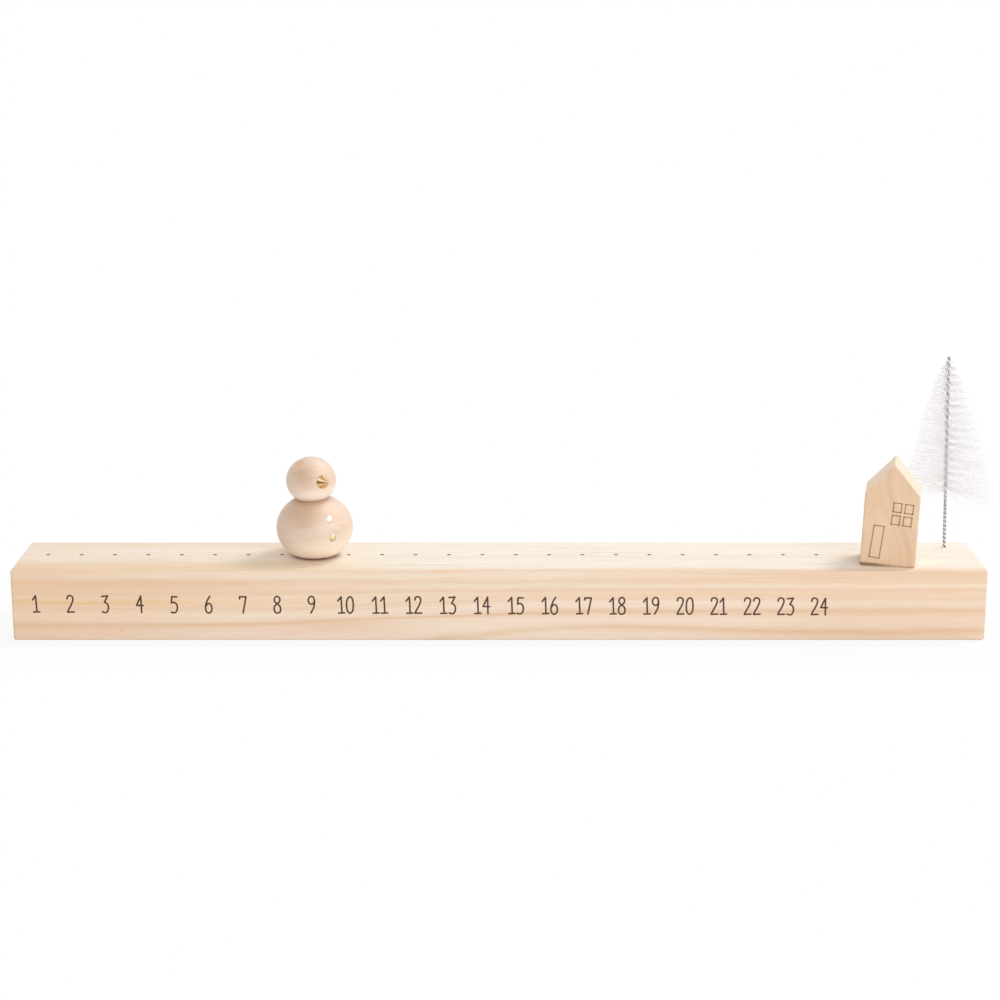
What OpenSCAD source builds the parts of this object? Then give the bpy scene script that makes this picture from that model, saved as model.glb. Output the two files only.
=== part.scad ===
// Wooden countdown bar for the days before a winter holiday.
// A pine bar has one drilled hole for each day. A figure of two turned balls
// stands on a steel pin and is moved from hole to hole, towards a small house
// and a bottle-brush tree at the right-hand end.
// Millimetres. The origin is the middle of the bar's underside, +X runs along
// the bar to the right, +Y to the back and +Z up.

/* [Bar] */
// Length of the bar
bar_l = 400; // [392:1:480]
// Depth of the bar, front to back
bar_d = 44; // [42:1:60]
// Height of the bar
bar_h = 30; // [24:1:45]
// Radius of its eased edges
edge_r = 1; // [0.5:0.1:2]

/* [Day holes] */
// Number of days, with a hole for each
days = 24; // [12:1:24]
// Distance from one hole to the next
hole_pitch = 14; // [13:0.1:14.4]
// Distance of the first hole from the left end
first_hole = 11; // [9:0.5:14]
// Distance of the row of holes from the front face
row_inset = 24; // [20:0.5:28]
// Depth of each hole
day_hole_deep = 14; // [13:0.5:18]
// Day that the figure stands at
figure_day = 9; // [2:1:22]

/* [Pins and fit] */
// Diameter of the steel pins under the figure and the house
pin_d = 1.4; // [1.2:0.1:2.4]
// How far a pin reaches below the piece that stands on it
pin_reach = 12; // [8:0.5:12.5]
// How far a pin goes up into that piece
pin_grip = 10; // [7:0.5:11]
// Width of the slope filed round each end of a pin
pin_slope = 0.3; // [0.1:0.05:0.4]
// Gap all round a pin or the wire in its hole
fit_gap = 0.05; // [0.03:0.01:0.1]
// Gap all round a shank or dowel that is glued or driven in
drive_gap = 0.02; // [0.01:0.01:0.04]
// Room left past the end of a pin, shank or dowel
end_room = 0.5; // [0.2:0.1:1]

/* [Figure] */
// Width of the lower ball
body_w = 31.8; // [28:0.2:34]
// Height of the lower ball before its flats are cut
body_h = 28.1; // [25:0.1:31]
// Height of what the foot's flat takes off
foot_cut = 1.95; // [1.5:0.05:3]
// Width of the upper ball
head_w = 20.7; // [18:0.1:24]
// Height of the upper ball before its flat is cut
head_h = 19.5; // [17:0.1:22]
// Width of the flats where the balls meet
neck_w = 13.2; // [9:0.1:14.5]
// Lean of the head to the figure's right, in degrees
head_lean = 3.5; // [0:0.5:6]
// Turn of the face from straight ahead to the right, in degrees
facing = 34; // [0:1:60]
// Diameter of the dowel between the balls
dowel_d = 4; // [3:0.5:5]
// How far the dowel goes into each ball
dowel_grip = 6; // [4:0.5:7]

/* [Brass trim] */
// Diameter of the nose where it meets the head
nose_w = 5.6; // [4:0.1:7]
// Length of the nose in front of the head
nose_l = 5; // [3:0.1:8]
// Radius of the nose's blunt tip
nose_tip_r = 0.3; // [0.1:0.1:0.5]
// Height of the nose's aim above level, in degrees
nose_up = 7; // [0:1:15]
// Diameter of the nose's shank
nose_shank_d = 1.6; // [1:0.1:2.4]
// Diameter of a button's domed head
button_w = 3.2; // [2.4:0.1:4]
// Height of a button's dome
button_h = 0.9; // [0.6:0.1:1.4]
// Diameter of a button's shank
button_shank_d = 1; // [0.8:0.1:1.4]
// Length of the shanks inside the wood
shank_l = 4.5; // [3:0.5:6]
// Height of the upper button above the middle of the lower ball
upper_button_z = 6.6; // [5.5:0.1:8]
// Turn of the upper button from the face towards the figure's right, in degrees
upper_button_turn = 3.8; // [0:0.1:6]
// Height of the lower button above the middle of the lower ball
lower_button_z = -1.3; // [-3:0.1:0]
// Turn of the lower button from the face towards the figure's right, in degrees
lower_button_turn = 1.5; // [0:0.1:6]

/* [House] */
// Width of the front
house_w = 22.4; // [18:0.2:23]
// Depth, front to back
house_d = 18; // [14:0.2:18.6]
// Height of the walls up to the eaves
eaves_h = 30.8; // [28:0.2:34]
// Height of the ridge
ridge_h = 43.4; // [40:0.2:48]
// Lean of the block's walls to the right, in degrees
house_lean = 2; // [0:0.5:3]
// Radius to which the block's edges are sanded
house_edge_r = 0.7; // [0.3:0.1:1]
// Turn of the front towards the left, in degrees
house_turn = 11.6; // [0:0.1:20]
// Distance of the house's pin from the right-hand end of the bar
house_from_end = 38.6; // [37:0.1:40]
// Distance of the house's pin from the front face
house_inset = 14.4; // [13:0.1:15.5]
// Width of the engraved lines
line_w = 0.35; // [0.2:0.05:0.6]
// Depth of the engraved lines
line_deep = 0.3; // [0.1:0.05:0.6]
// Width of the door
door_w = 4.1; // [3:0.1:5]
// Height of the door
door_h = 13.6; // [10:0.1:15]
// Width of a window pane
pane_w = 3.25; // [2:0.05:4]
// Height of a window pane
pane_h = 3.8; // [2:0.05:4.5]
// Width of the bar between two panes
glazing_w = 1.5; // [0.8:0.1:2]

/* [Tree] */
// Distance of the tree's foot from the right-hand end of the bar
tree_from_end = 11.2; // [9:0.1:12]
// Distance of the tree's foot from the front face
tree_inset = 35.6; // [35:0.1:38]
// Lean of the tree to the left, in degrees
tree_lean = 1.4; // [0:0.1:2]
// Depth that the wire stands in the bar
tree_foot = 12; // [8:0.5:14]
// Height of the lowest bristles above the bar
brush_from = 24.2; // [22:0.1:32]
// Height of the part that carries bristles
brush_h = 56; // [48:1:64]
// Reach of the longest bristles from the wire
brush_r = 18.8; // [15:0.1:18.9]
// Fullness of the brush, where 1 is a straight cone
brush_curve = 0.75; // [0.6:0.05:1]
// Drop of the longest bristles' ends
brush_drop = 3; // [0:0.5:5]
// Bristles in each of the brush's two rows
brush_rows = 180; // [150:1:210]
// Thickness of a bristle
bristle_d = 0.2; // [0.15:0.01:0.25]
// Diameter of the twisted wire
wire_d = 0.65; // [0.6:0.05:0.9]
// Length of one full turn of the twist in the bare stem
stem_pitch = 3.6; // [3.4:0.1:5]
// Length of one full turn of the twist that holds the bristles
brush_pitch = 6.4; // [5:0.1:7]
// Gap between the two legs of the wire, which holds the bristles
wire_gap = 0.2; // [0.16:0.02:0.3]

/* [Hidden] */
$fn = 64;

pine = "burlywood";
beech = "bisque";
brass = "goldenrod";
steel = "silver";

over = 1; // how far a cut runs past the face that it opens
edge_steps = 6; // flats round an eased edge
ball_steps = 40; // points from pole to pole of a ball's outline

// The middles of the door and the window, as shares of the front's width and of the
// eaves' height, and how many degrees the engraver set them askew
door_place = [-0.21, 0.34];
door_turn = -7;
window_place = [0.235, 0.725];
window_turn = -5.5;

pin_hole_d = pin_d + 2 * fit_gap;
row_y = row_inset - bar_d / 2;
house_x = bar_l / 2 - house_from_end;
house_y = house_inset - bar_d / 2;
tree_x = bar_l / 2 - tree_from_end;
tree_y = tree_inset - bar_d / 2;

// Half width of an oblate ball w wide and h high, at height z from its middle
function ball_r(w, h, z) = w / 2 * sqrt(max(0, 1 - pow(2 * z / h, 2)));

// Height from the ball's middle at which it is flat_w wide
function flat_z(w, h, flat_w) = h / 2 * sqrt(1 - pow(flat_w / w, 2));

body_z = body_h / 2 - foot_cut;
body_neck_z = flat_z(body_w, body_h, neck_w);
head_neck_z = flat_z(head_w, head_h, neck_w);

function day_x(day) = first_hole - bar_l / 2 + (day - 1) * hole_pitch;

// Bar

// Outline of an a by b rectangle with its corners rounded
function eased_outline(a, b) = [
  for (corner = [0:3], step = [0:edge_steps])
    let (
      t = 90 * (corner + step / edge_steps),
      x = (corner == 0 || corner == 3 ? 1 : -1) * (a / 2 - edge_r),
      y = (corner < 2 ? 1 : -1) * (b / 2 - edge_r)
    ) [x + edge_r * cos(t), y + edge_r * sin(t)]
];

module eased_block(length, depth, height) {
  translate([0, 0, height / 2]) intersection() {
    linear_extrude(height, center = true) polygon(eased_outline(length, depth));
    rotate([90, 0, 0]) linear_extrude(depth, center = true)
      polygon(eased_outline(length, height));
    rotate([90, 0, 90]) linear_extrude(length, center = true)
      polygon(eased_outline(depth, height));
  }
}

// A hole drilled down from the bar's top
module bar_hole(diameter, deep) {
  translate([0, 0, -deep]) cylinder(d = diameter, h = deep + over);
}

module base_bar() {
  color(pine) difference() {
    eased_block(bar_l, bar_d, bar_h);
    for (day = [1:days])
      translate([day_x(day), row_y, bar_h]) bar_hole(pin_hole_d, day_hole_deep);
    at_house() bar_hole(pin_hole_d, day_hole_deep);
    at_tree() bar_hole(tree_hole_d, tree_foot + end_room);
  }
}

// Pins and driven shanks

// A straight pin through the foot of the piece that stands on it
module pin() {
  color(steel) rotate_extrude() polygon([
    [0, -pin_reach],
    [pin_d / 2 - pin_slope, -pin_reach],
    [pin_d / 2, pin_slope - pin_reach],
    [pin_d / 2, pin_grip - pin_slope],
    [pin_d / 2 - pin_slope, pin_grip],
    [0, pin_grip]
  ]);
}

module pin_hole() {
  translate([0, 0, -over]) cylinder(d = pin_hole_d, h = over + pin_grip + end_room);
}

// A shank's hole with a flat seat, cut along -Z from the seat's face
module shank_seat(seat_w, shank_d) {
  cylinder(d = seat_w + 2 * drive_gap, h = over);
  translate([0, 0, -shank_l - end_room])
    cylinder(d = shank_d + 2 * drive_gap, h = shank_l + end_room + over);
}

module shank(shank_d) {
  translate([0, 0, -shank_l]) cylinder(d = shank_d, h = shank_l);
}

// Figure

// Places the figure's parts: the foot's middle on the bar, facing turned
module at_figure() {
  translate([day_x(figure_day), row_y, bar_h]) rotate([0, 0, facing]) children();
}

module at_body_middle() {
  at_figure() translate([0, 0, body_z]) children();
}

// The neck's axis leans from the middle of the lower ball
module at_neck() {
  at_body_middle() rotate([0, -head_lean, 0]) translate([0, 0, body_neck_z]) children();
}

module at_head_middle() {
  at_neck() translate([0, 0, head_neck_z]) children();
}

// A turned ball, cut flat at each end where bottom and top say
module turned_ball(w, h, bottom, top) {
  low = asin(2 * bottom / h);
  high = asin(min(1, 2 * top / h));
  outline = [for (i = [0:ball_steps]) let (t = low + (high - low) * i / ball_steps)
    [max(0, ball_r(w, h, h / 2 * sin(t))), h / 2 * sin(t)]];
  rotate_extrude() polygon(concat([[0, bottom]], outline, top < h / 2 ? [[0, top]] : []));
}

// Half of the dowel's hole, up into the ball from its flat
module dowel_hole() {
  translate([0, 0, -over])
    cylinder(d = dowel_d + 2 * drive_gap, h = over + dowel_grip + end_room);
}

// A button's place on the lower ball, square to its surface, on the rim of its seat
module at_button(z, turn) {
  r = ball_r(body_w, body_h, z);
  up = atan2(z / pow(body_h, 2), r / pow(body_w, 2));
  sunk = body_h / 2 - sqrt(pow(body_h / 2, 2) - pow(button_w / 2, 2));
  at_body_middle() rotate([0, 0, -turn]) translate([0, -r, z]) rotate([90 - up, 0, 0])
    translate([0, 0, -sunk]) children();
}

// The nose's place on the upper ball, on the rim of its seat
module at_nose() {
  out = 1 / sqrt(pow(2 * cos(nose_up) / head_w, 2) + pow(2 * sin(nose_up) / head_h, 2));
  at_head_middle() rotate([90 - nose_up, 0, 0])
    translate([0, 0, sqrt(pow(out, 2) - pow(nose_w / 2, 2))]) children();
}

module at_upper_button() {
  at_button(upper_button_z, upper_button_turn) children();
}

module at_lower_button() {
  at_button(lower_button_z, lower_button_turn) children();
}

module snowman_body() {
  color(beech) difference() {
    at_body_middle() turned_ball(body_w, body_h, -body_z, body_h / 2);
    at_neck() cylinder(d = body_w, h = body_h);
    at_neck() mirror([0, 0, 1]) dowel_hole();
    at_figure() pin_hole();
    at_upper_button() shank_seat(button_w, button_shank_d);
    at_lower_button() shank_seat(button_w, button_shank_d);
  }
}

module snowman_head() {
  color(beech) difference() {
    at_head_middle() turned_ball(head_w, head_h, -head_neck_z, head_h / 2);
    at_neck() dowel_hole();
    at_nose() shank_seat(nose_w, nose_shank_d);
  }
}

module neck_dowel() {
  color(pine) at_neck() cylinder(d = dowel_d, h = 2 * dowel_grip, center = true);
}

module nose_cone() {
  color(brass) at_nose() {
    rotate_extrude() polygon(concat(
      [[0, 0], [nose_w / 2, 0]],
      [for (t = [0:15:90]) [nose_tip_r * cos(t), nose_l - nose_tip_r + nose_tip_r * sin(t)]]
    ));
    shank(nose_shank_d);
  }
}

// A domed tack: the cap of a ball on a straight shank
module button() {
  dome_r = (pow(button_w / 2, 2) + pow(button_h, 2)) / (2 * button_h);
  color(brass) {
    intersection() {
      translate([0, 0, button_h - dome_r]) sphere(r = dome_r);
      cylinder(d = button_w + over, h = button_h + over);
    }
    shank(button_shank_d);
  }
}

module upper_button() {
  at_upper_button() button();
}

module lower_button() {
  at_lower_button() button();
}

module figure_pin() {
  at_figure() pin();
}

// House

module at_house() {
  translate([house_x, house_y, bar_h]) rotate([0, 0, -house_turn]) children();
}

// A point of the square-cut front, leaned to the right about the foot
function leaned(x, z) = [
  x * cos(house_lean) + z * sin(house_lean),
  z * cos(house_lean) - x * sin(house_lean)
];

function front_outline() = [
  [-house_w / 2 / cos(house_lean), 0],
  [house_w / 2 / cos(house_lean), 0],
  leaned(house_w / 2, eaves_h),
  leaned(0, ridge_h),
  leaned(-house_w / 2, eaves_h)
];

module sanded(r) {
  offset(r = r, $fn = 4 * edge_steps) offset(delta = -r) children();
}

// All that lies inside the side from corner a to corner b, with that side's edges sanded
module inside_of(a, b) {
  out = unit([b.y - a.y, a.x - b.x]);
  span = 2 * ridge_h + house_w;
  rotate([0, -atan2(out.y, out.x), 0]) linear_extrude(2 * span, center = true)
    translate([out * a - span, 0]) sanded(house_edge_r) square([2 * span, house_d], center = true);
}

module sanded_block() {
  corners = front_outline();
  intersection() {
    rotate([90, 0, 0]) linear_extrude(house_d + over, center = true)
      sanded(house_edge_r) polygon(corners);
    intersection_for (k = [0:4]) inside_of(corners[k], corners[(k + 1) % 5]);
  }
}

// Places a drawing on the front
module on_front(place, turn) {
  translate([place.x * house_w, -house_d / 2, place.y * eaves_h]) rotate([90, -turn, 0])
    children();
}

// An engraved rectangle, cut into the front from its face
module engraved_box(w, h) {
  translate([0, 0, -line_deep]) linear_extrude(line_deep + over) difference() {
    square([w + line_w, h + line_w], center = true);
    square([w - line_w, h - line_w], center = true);
  }
}

module door() {
  on_front(door_place, door_turn) engraved_box(door_w, door_h);
}

module window() {
  on_front(window_place, window_turn) for (x = [-1, 1], y = [-1, 1])
    translate([x * (pane_w + glazing_w) / 2, y * (pane_h + glazing_w) / 2, 0])
      engraved_box(pane_w, pane_h);
}

module house_block() {
  color(pine) at_house() difference() {
    sanded_block();
    pin_hole();
    door();
    window();
  }
}

module house_pin() {
  at_house() pin();
}

// Tree

wire_leg = (wire_d + wire_gap) / 2; // each leg's distance from the wire's axis
wire_r = wire_leg + wire_d / 2;
tree_hole_d = 2 * (wire_r + fit_gap);
brush_top = brush_from + brush_h;
tip_l = 1.2; // bare wire between the highest bristles and the fold
fold_z = brush_top + tip_l;
wire_sides = 6;
wire_rings = 8; // rings in one full turn of the twist
fold_rings = 5; // steps round the fold at the tip
stem_turns = (tree_foot + brush_from) / stem_pitch;
brush_turns = (fold_z - brush_from) / brush_pitch;
leg_rings = ceil(wire_rings * (stem_turns + brush_turns));

module at_tree() {
  translate([tree_x, tree_y, bar_h]) rotate([0, -tree_lean, 0]) children();
}

// Turn of the twist at height z above the bar
function twist_at(z) = -360 * (
  (min(z, brush_from) + tree_foot) / stem_pitch + max(0, z - brush_from) / brush_pitch
);

// Height above the bar at which the twist has made that many turns
function height_at(turns) = turns < stem_turns
  ? stem_pitch * turns - tree_foot
  : brush_from + brush_pitch * (turns - stem_turns);

function unit(v) = v / norm(v);

// Faces of the band between two rings of n points, whose first points are low and high
function band(low, high, n) = [
  for (k = [0:n - 1]) let (m = (k + 1) % n)
    each [[low + k, high + k, low + m], [high + k, high + m, low + m]]
];

// Faces that close a tube at a ring of n points, where it ends or where it begins
function cap(first, n, end) = [
  for (k = [1:n - 2]) end ? [first, first + k + 1, first + k] : [first, first + k, first + k + 1]
];

// A point on a leg of the wire, and the way out from the axis there
function leg_point(side, i) =
  let (z = height_at((stem_turns + brush_turns) * i / leg_rings), t = twist_at(z) + 180 * side)
  [[wire_leg * cos(t), wire_leg * sin(t), z], [cos(t), sin(t), 0]];

// A point round the fold, and the way out from its middle
function fold_point(i) = let (
  t = twist_at(fold_z),
  s = 180 * i / fold_rings,
  out = [cos(s) * cos(t), cos(s) * sin(t), sin(s)]
) [[0, 0, fold_z] + wire_leg * out, out];

// The wire's whole run: up one leg, round the fold and down the other leg
wire_run = concat(
  [for (i = [0:leg_rings]) leg_point(0, i)],
  [for (i = [1:fold_rings - 1]) fold_point(i)],
  [for (i = [leg_rings:-1:0]) leg_point(1, i)]
);
wire_end = len(wire_run) - 1;

// The points round the wire at step i of its run, square to its path
function wire_ring(i) = let (
  along = unit(wire_run[min(i + 1, wire_end)][0] - wire_run[max(i - 1, 0)][0]),
  side = unit(cross(along, wire_run[i][1])),
  out = cross(side, along)
) [
  for (k = [0:wire_sides - 1]) let (a = 360 * k / wire_sides)
    wire_run[i][0] + wire_d / 2 * (cos(a) * out + sin(a) * side)
];

// One length of wire, folded in the middle and twisted on itself
module tree_wire() {
  points = [for (i = [0:wire_end], p = wire_ring(i)) p];
  faces = concat(
    cap(0, wire_sides, false),
    [for (i = [0:wire_end - 1]) each band(wire_sides * i, wire_sides * (i + 1), wire_sides)],
    cap(wire_sides * wire_end, wire_sides, true)
  );
  color(steel) at_tree() polyhedron(points, faces);
}

brush_step = brush_h / brush_rows;
root_room = 0.04; // gap between the packed roots and each leg of the wire
root_half = wire_gap / 2 - root_room; // half thickness of the packed roots
root_side = 0.75 * wire_gap; // half width of the packed roots
leave_at = 0.4; // share of a step at which its bristles leave the roots
bend_at = 0.55; // share of a bristle's length at which it bends down
bend_drop = 0.2; // share of the end's drop that it has there
tip_share = 0.7; // thickness of a bristle's end, as a share of the rest
uneven = 0.1; // share of their length by which bristles differ

// Share of the way down the brush from its tip, at step i from the bottom
function down_at(i) = 1 - i / brush_rows;

// A number from 0 to 1 that jumps about from one bristle to the next
function jumpy(n) = abs(sin(n * 127.1) * 43758.5) % 1;

function reach_at(i, side) =
  wire_r + (brush_r - wire_r) * pow(down_at(i), brush_curve) * (1 - uneven * jumpy(2 * i + side));

// Four points round the packed roots at the foot of step i
function root_ring(i) = let (z = brush_from + i * brush_step, t = twist_at(z)) [
  for (p = [[1, 1], [-1, 1], [-1, -1], [1, -1]]) let (x = p.x * root_half, y = p.y * root_side)
    [x * cos(t) - y * sin(t), x * sin(t) + y * cos(t), z]
];

// Three points round a bristle d thick, at radius r and height z
function bristle_ring(turn, r, z, d) = [
  for (p = [[-1, -0.5], [1, -0.5], [0, 1]]) let (across = p.x * d / 2)
    [r * cos(turn) - across * sin(turn), r * sin(turn) + across * cos(turn), z + p.y * d / 2]
];

// The two outer rings of the bristle that grows from step i on one side
function bristle_points(i, side) = let (
  z = brush_from + (i + leave_at) * brush_step,
  turn = twist_at(z) + 90 + 180 * side,
  r = reach_at(i, side),
  drop = brush_drop * pow(down_at(i), 2)
) concat(
  bristle_ring(turn, bend_at * r, z - bend_drop * drop, bristle_d),
  bristle_ring(turn, r, z - drop, tip_share * bristle_d)
);

// Side faces between two rings of three points, given by their numbers
function bristle_wall(low, high) = [
  for (k = [0:2]) let (n = (k + 1) % 3)
    each [[low[k], low[n], high[n]], [low[k], high[n], high[k]]]
];

// Faces of the bristle from step i, which takes half of the roots' edge face
function bristle_faces(i, side) = let (
  a = 4 * i + 2 * side,
  root = [a, a + 4, a + 1],
  m = 4 * (brush_rows + 1) + 6 * (2 * i + side),
  middle = [m, m + 2, m + 1],
  tip = [m + 3, m + 5, m + 4]
) concat(bristle_wall(root, middle), bristle_wall(middle, tip), [tip, [a + 4, a + 5, a + 1]]);

// Faces of the roots' broad side from step i
function root_faces(i, side) = let (a = 4 * i + 1 + 2 * side, b = side == 0 ? a + 1 : a - 3)
  [[a, a + 4, b], [a + 4, b + 4, b]];

// Two rows of bristles, squeezed between the legs of the wire and twisted with it
module tree_bristles() {
  steps = [0:brush_rows - 1];
  points = concat(
    [for (i = [0:brush_rows], p = root_ring(i)) p],
    [for (i = steps, side = [0, 1], p = bristle_points(i, side)) p]
  );
  faces = concat(
    cap(0, 4, false),
    [for (i = steps, side = [0, 1]) each root_faces(i, side)],
    [for (i = steps, side = [0, 1]) each bristle_faces(i, side)],
    cap(4 * brush_rows, 4, true)
  );
  color("white") at_tree() polyhedron(points, faces);
}

base_bar();
snowman_body();
snowman_head();
neck_dowel();
figure_pin();
nose_cone();
upper_button();
lower_button();
house_block();
house_pin();
tree_wire();
tree_bristles();
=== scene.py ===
"""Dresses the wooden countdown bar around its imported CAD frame.

A pine bar with 24 drilled day holes and printed numbers carries a turned
two-ball figure on a steel pin, a small engraved house and a bottle-brush tree.
Sizes are in millimetres, in the frame of the CAD part: +X along the bar to the
right, +Y to the back and +Z up. Meshes, lamps and the camera are in metres.
"""

from __future__ import annotations

import logging
import math
from dataclasses import dataclass
from enum import Enum
from typing import Callable, Iterable, Mapping, Sequence, Union

import bmesh
import bpy
from bpy.types import ID, Material, Node, NodeSocket, NodeTree, Object
from mathutils import Euler, Matrix, Vector

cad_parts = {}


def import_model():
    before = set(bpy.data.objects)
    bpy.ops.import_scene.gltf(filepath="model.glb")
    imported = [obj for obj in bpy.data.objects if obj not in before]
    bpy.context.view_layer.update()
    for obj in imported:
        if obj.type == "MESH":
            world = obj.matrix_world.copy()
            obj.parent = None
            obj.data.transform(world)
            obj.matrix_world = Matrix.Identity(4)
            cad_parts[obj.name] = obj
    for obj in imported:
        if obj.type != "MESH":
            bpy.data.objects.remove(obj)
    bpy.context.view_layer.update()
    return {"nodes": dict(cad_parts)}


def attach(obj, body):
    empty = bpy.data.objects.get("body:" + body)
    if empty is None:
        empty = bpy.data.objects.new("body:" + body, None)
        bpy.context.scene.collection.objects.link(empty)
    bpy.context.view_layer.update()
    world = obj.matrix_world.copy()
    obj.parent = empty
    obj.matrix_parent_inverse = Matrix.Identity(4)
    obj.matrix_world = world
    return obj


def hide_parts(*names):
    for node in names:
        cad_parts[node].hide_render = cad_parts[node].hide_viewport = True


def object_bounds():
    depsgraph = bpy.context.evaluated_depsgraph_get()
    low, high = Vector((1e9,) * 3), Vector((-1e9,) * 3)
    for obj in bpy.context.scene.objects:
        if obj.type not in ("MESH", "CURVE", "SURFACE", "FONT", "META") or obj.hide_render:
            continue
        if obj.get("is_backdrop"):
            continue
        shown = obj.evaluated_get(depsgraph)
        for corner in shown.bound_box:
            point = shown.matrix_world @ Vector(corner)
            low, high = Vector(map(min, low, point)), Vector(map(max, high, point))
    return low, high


LOG = logging.getLogger("countdown_bar")
MM = 0.001
BAR_TOP = 30.0
BAR_FRONT = -22.0
DAYS = 24
FIRST_HOLE = -189.0
PITCH = 14.0
HOLE_ROW = 2.0
PIN_HOLE = 1.5
# How deep a drilled hole's pointed end is, in radii, and how many faces go round the hole.
DRILL_POINT = 0.4
DRILL_STEPS = 28
FIGURE_DAY = 9
FIGURE_FOOT = (FIRST_HOLE + PITCH * (FIGURE_DAY - 1), HOLE_ROW, BAR_TOP)
HOUSE_FOOT = (161.4, -7.6, BAR_TOP)
TREE_FOOT = (188.8, 13.6, BAR_TOP)
TREE_LEAN = -1.4
SANDED_GLOSS = 0.42

Colour = tuple[float, float, float, float]
Point = tuple[float, float, float]
Flat = tuple[float, float]


def tone(red: int, green: int, blue: int) -> Colour:
    """Turns a screen colour into the linear colour that shaders take.

    Args:
        red: Red, from 0 to 255.
        green: Green, from 0 to 255.
        blue: Blue, from 0 to 255.

    Returns:
        The linear colour with full alpha.
    """
    parts = (part / 255 for part in (red, green, blue))
    return (*(c / 12.92 if c <= 0.04045 else ((c + 0.055) / 1.055) ** 2.4 for c in parts), 1.0)


def metres(point: Sequence[float]) -> Vector:
    """Turns a point in millimetres into a vector in metres."""
    return Vector(point) * MM


def turned(degrees: float, axis: str) -> Matrix:
    """Gives a turn about an axis."""
    return Matrix.Rotation(math.radians(degrees), 4, axis)


def moved(x: float, y: float, z: float) -> Matrix:
    """Gives a move."""
    return Matrix.Translation((x, y, z))


def formula(operation: str, flipped: bool = False) -> Callable[..., Value]:
    """Makes a method of Value that adds one Math node.

    Args:
        operation: The node's operation.
        flipped: Whether the value comes last, as in 1 - value.

    Returns:
        The method, which takes the other number where the operation has one.
    """

    def apply(value: Value, *others: Number) -> Value:
        """Adds the node."""
        return value.graph.math(operation, *((*others, value) if flipped else (value, *others)))

    return apply


class Value:
    """A number that varies over a surface or from point to point, as an output socket.

    Its operators and methods add Math nodes, so a formula on values reads as one on numbers.
    """

    __add__, __radd__ = formula("ADD"), formula("ADD", flipped=True)
    __sub__, __rsub__ = formula("SUBTRACT"), formula("SUBTRACT", flipped=True)
    __mul__, __rmul__ = formula("MULTIPLY"), formula("MULTIPLY", flipped=True)
    __truediv__, __mod__, __pow__ = formula("DIVIDE"), formula("FLOORED_MODULO"), formula("POWER")
    __lt__, __abs__ = formula("LESS_THAN"), formula("ABSOLUTE")
    root, exp, sine = formula("SQRT"), formula("EXPONENT"), formula("SINE")
    least, most = formula("MINIMUM"), formula("MAXIMUM")

    def __init__(self, graph: Graph, socket: NodeSocket) -> None:
        """Keeps the graph that the number is worked out in, and its socket."""
        self.graph, self.socket = graph, socket

    def __neg__(self) -> Value:
        """Changes sign."""
        return self * -1.0

    def ease(self, start: float, end: float) -> Value:
        """Rises smoothly from 0 at start to 1 at end, or falls where end comes first."""
        limits = {"Value": self, "From Min": start, "From Max": end}
        return self.graph.value("ShaderNodeMapRange", limits, interpolation_type="SMOOTHSTEP")

    def hill(self, middle: float, width: float) -> Value:
        """Is 1 at middle and dies away on both sides, like a bell of that half width."""
        return (-(((self - middle) / width) ** 2.0)).exp()


# What an input can be fed with: a number, or a socket or plain value of any kind.
Number = Union[float, Value]
Feed = Union[Number, NodeSocket, Sequence, bool, str, ID]
Feeds = Mapping[Union[str, int], Feed]


class Graph:
    """A node tree, and the calls that add nodes to it."""

    def __init__(self, tree: NodeTree) -> None:
        """Starts on an empty tree."""
        self.tree = tree

    def node(self, kind: str, values: Feeds | None = None, **settings: object) -> Node:
        """Adds one node.

        Args:
            kind: The node's type.
            values: What its inputs hold, by identifier, name or number.
            settings: Its properties, which are set first. "stops" sets a ramp.

        Returns:
            The new node.
        """
        made = self.tree.nodes.new(kind)
        for name, setting in settings.items():
            if name == "stops":
                self._place_stops(made.color_ramp.elements, setting)
            else:
                setattr(made, name, setting)
        for key, fed in (values or {}).items():
            socket = self.find(made.inputs, key)
            if isinstance(fed, (Value, NodeSocket)):
                self.tree.links.new(fed.socket if isinstance(fed, Value) else fed, socket)
            else:
                socket.default_value = fed
        return made

    @staticmethod
    def find(sockets: bpy.types.bpy_prop_collection, key: str | int) -> NodeSocket:
        """Finds a socket by identifier, else by name or number."""
        return next((socket for socket in sockets if socket.identifier == key), None) or sockets[key]

    @staticmethod
    def _place_stops(elements: bpy.types.ColorRampElements, stops: Sequence[tuple[float, Colour]]) -> None:
        """Gives a ramp its stops.

        Args:
            elements: The ramp's own stops, two in a new ramp.
            stops: The places from 0 to 1, in rising order, each with its colour.
        """
        while len(elements) < len(stops):
            elements.new(1.0)
        for element, (place, colour) in zip(elements, stops):
            element.position, element.color = place, colour

    def made(
        self, kind: str, values: Feeds | None = None, output: str | int = 0, **settings: object
    ) -> NodeSocket:
        """Adds one node and gives one of its outputs, found as an input is."""
        return self.find(self.node(kind, values, **settings).outputs, output)

    def value(
        self, kind: str, values: Feeds | None = None, output: str | int = 0, **settings: object
    ) -> Value:
        """Adds one node and wraps one of its outputs as a number."""
        return Value(self, self.made(kind, values, output, **settings))

    def math(self, operation: str, *numbers: Number) -> Value:
        """Adds a Math node on the given numbers."""
        return self.value("ShaderNodeMath", dict(enumerate(numbers)), operation=operation)

    def axes(self, vector: NodeSocket) -> tuple[Value, Value, Value]:
        """Splits a vector into its three numbers."""
        return tuple(Value(self, part) for part in self.node("ShaderNodeSeparateXYZ", {0: vector}).outputs)

    def vector(self, x: Number, y: Number, z: Number) -> NodeSocket:
        """Joins three numbers into a vector."""
        return self.made("ShaderNodeCombineXYZ", {0: x, 1: y, 2: z})


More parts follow.
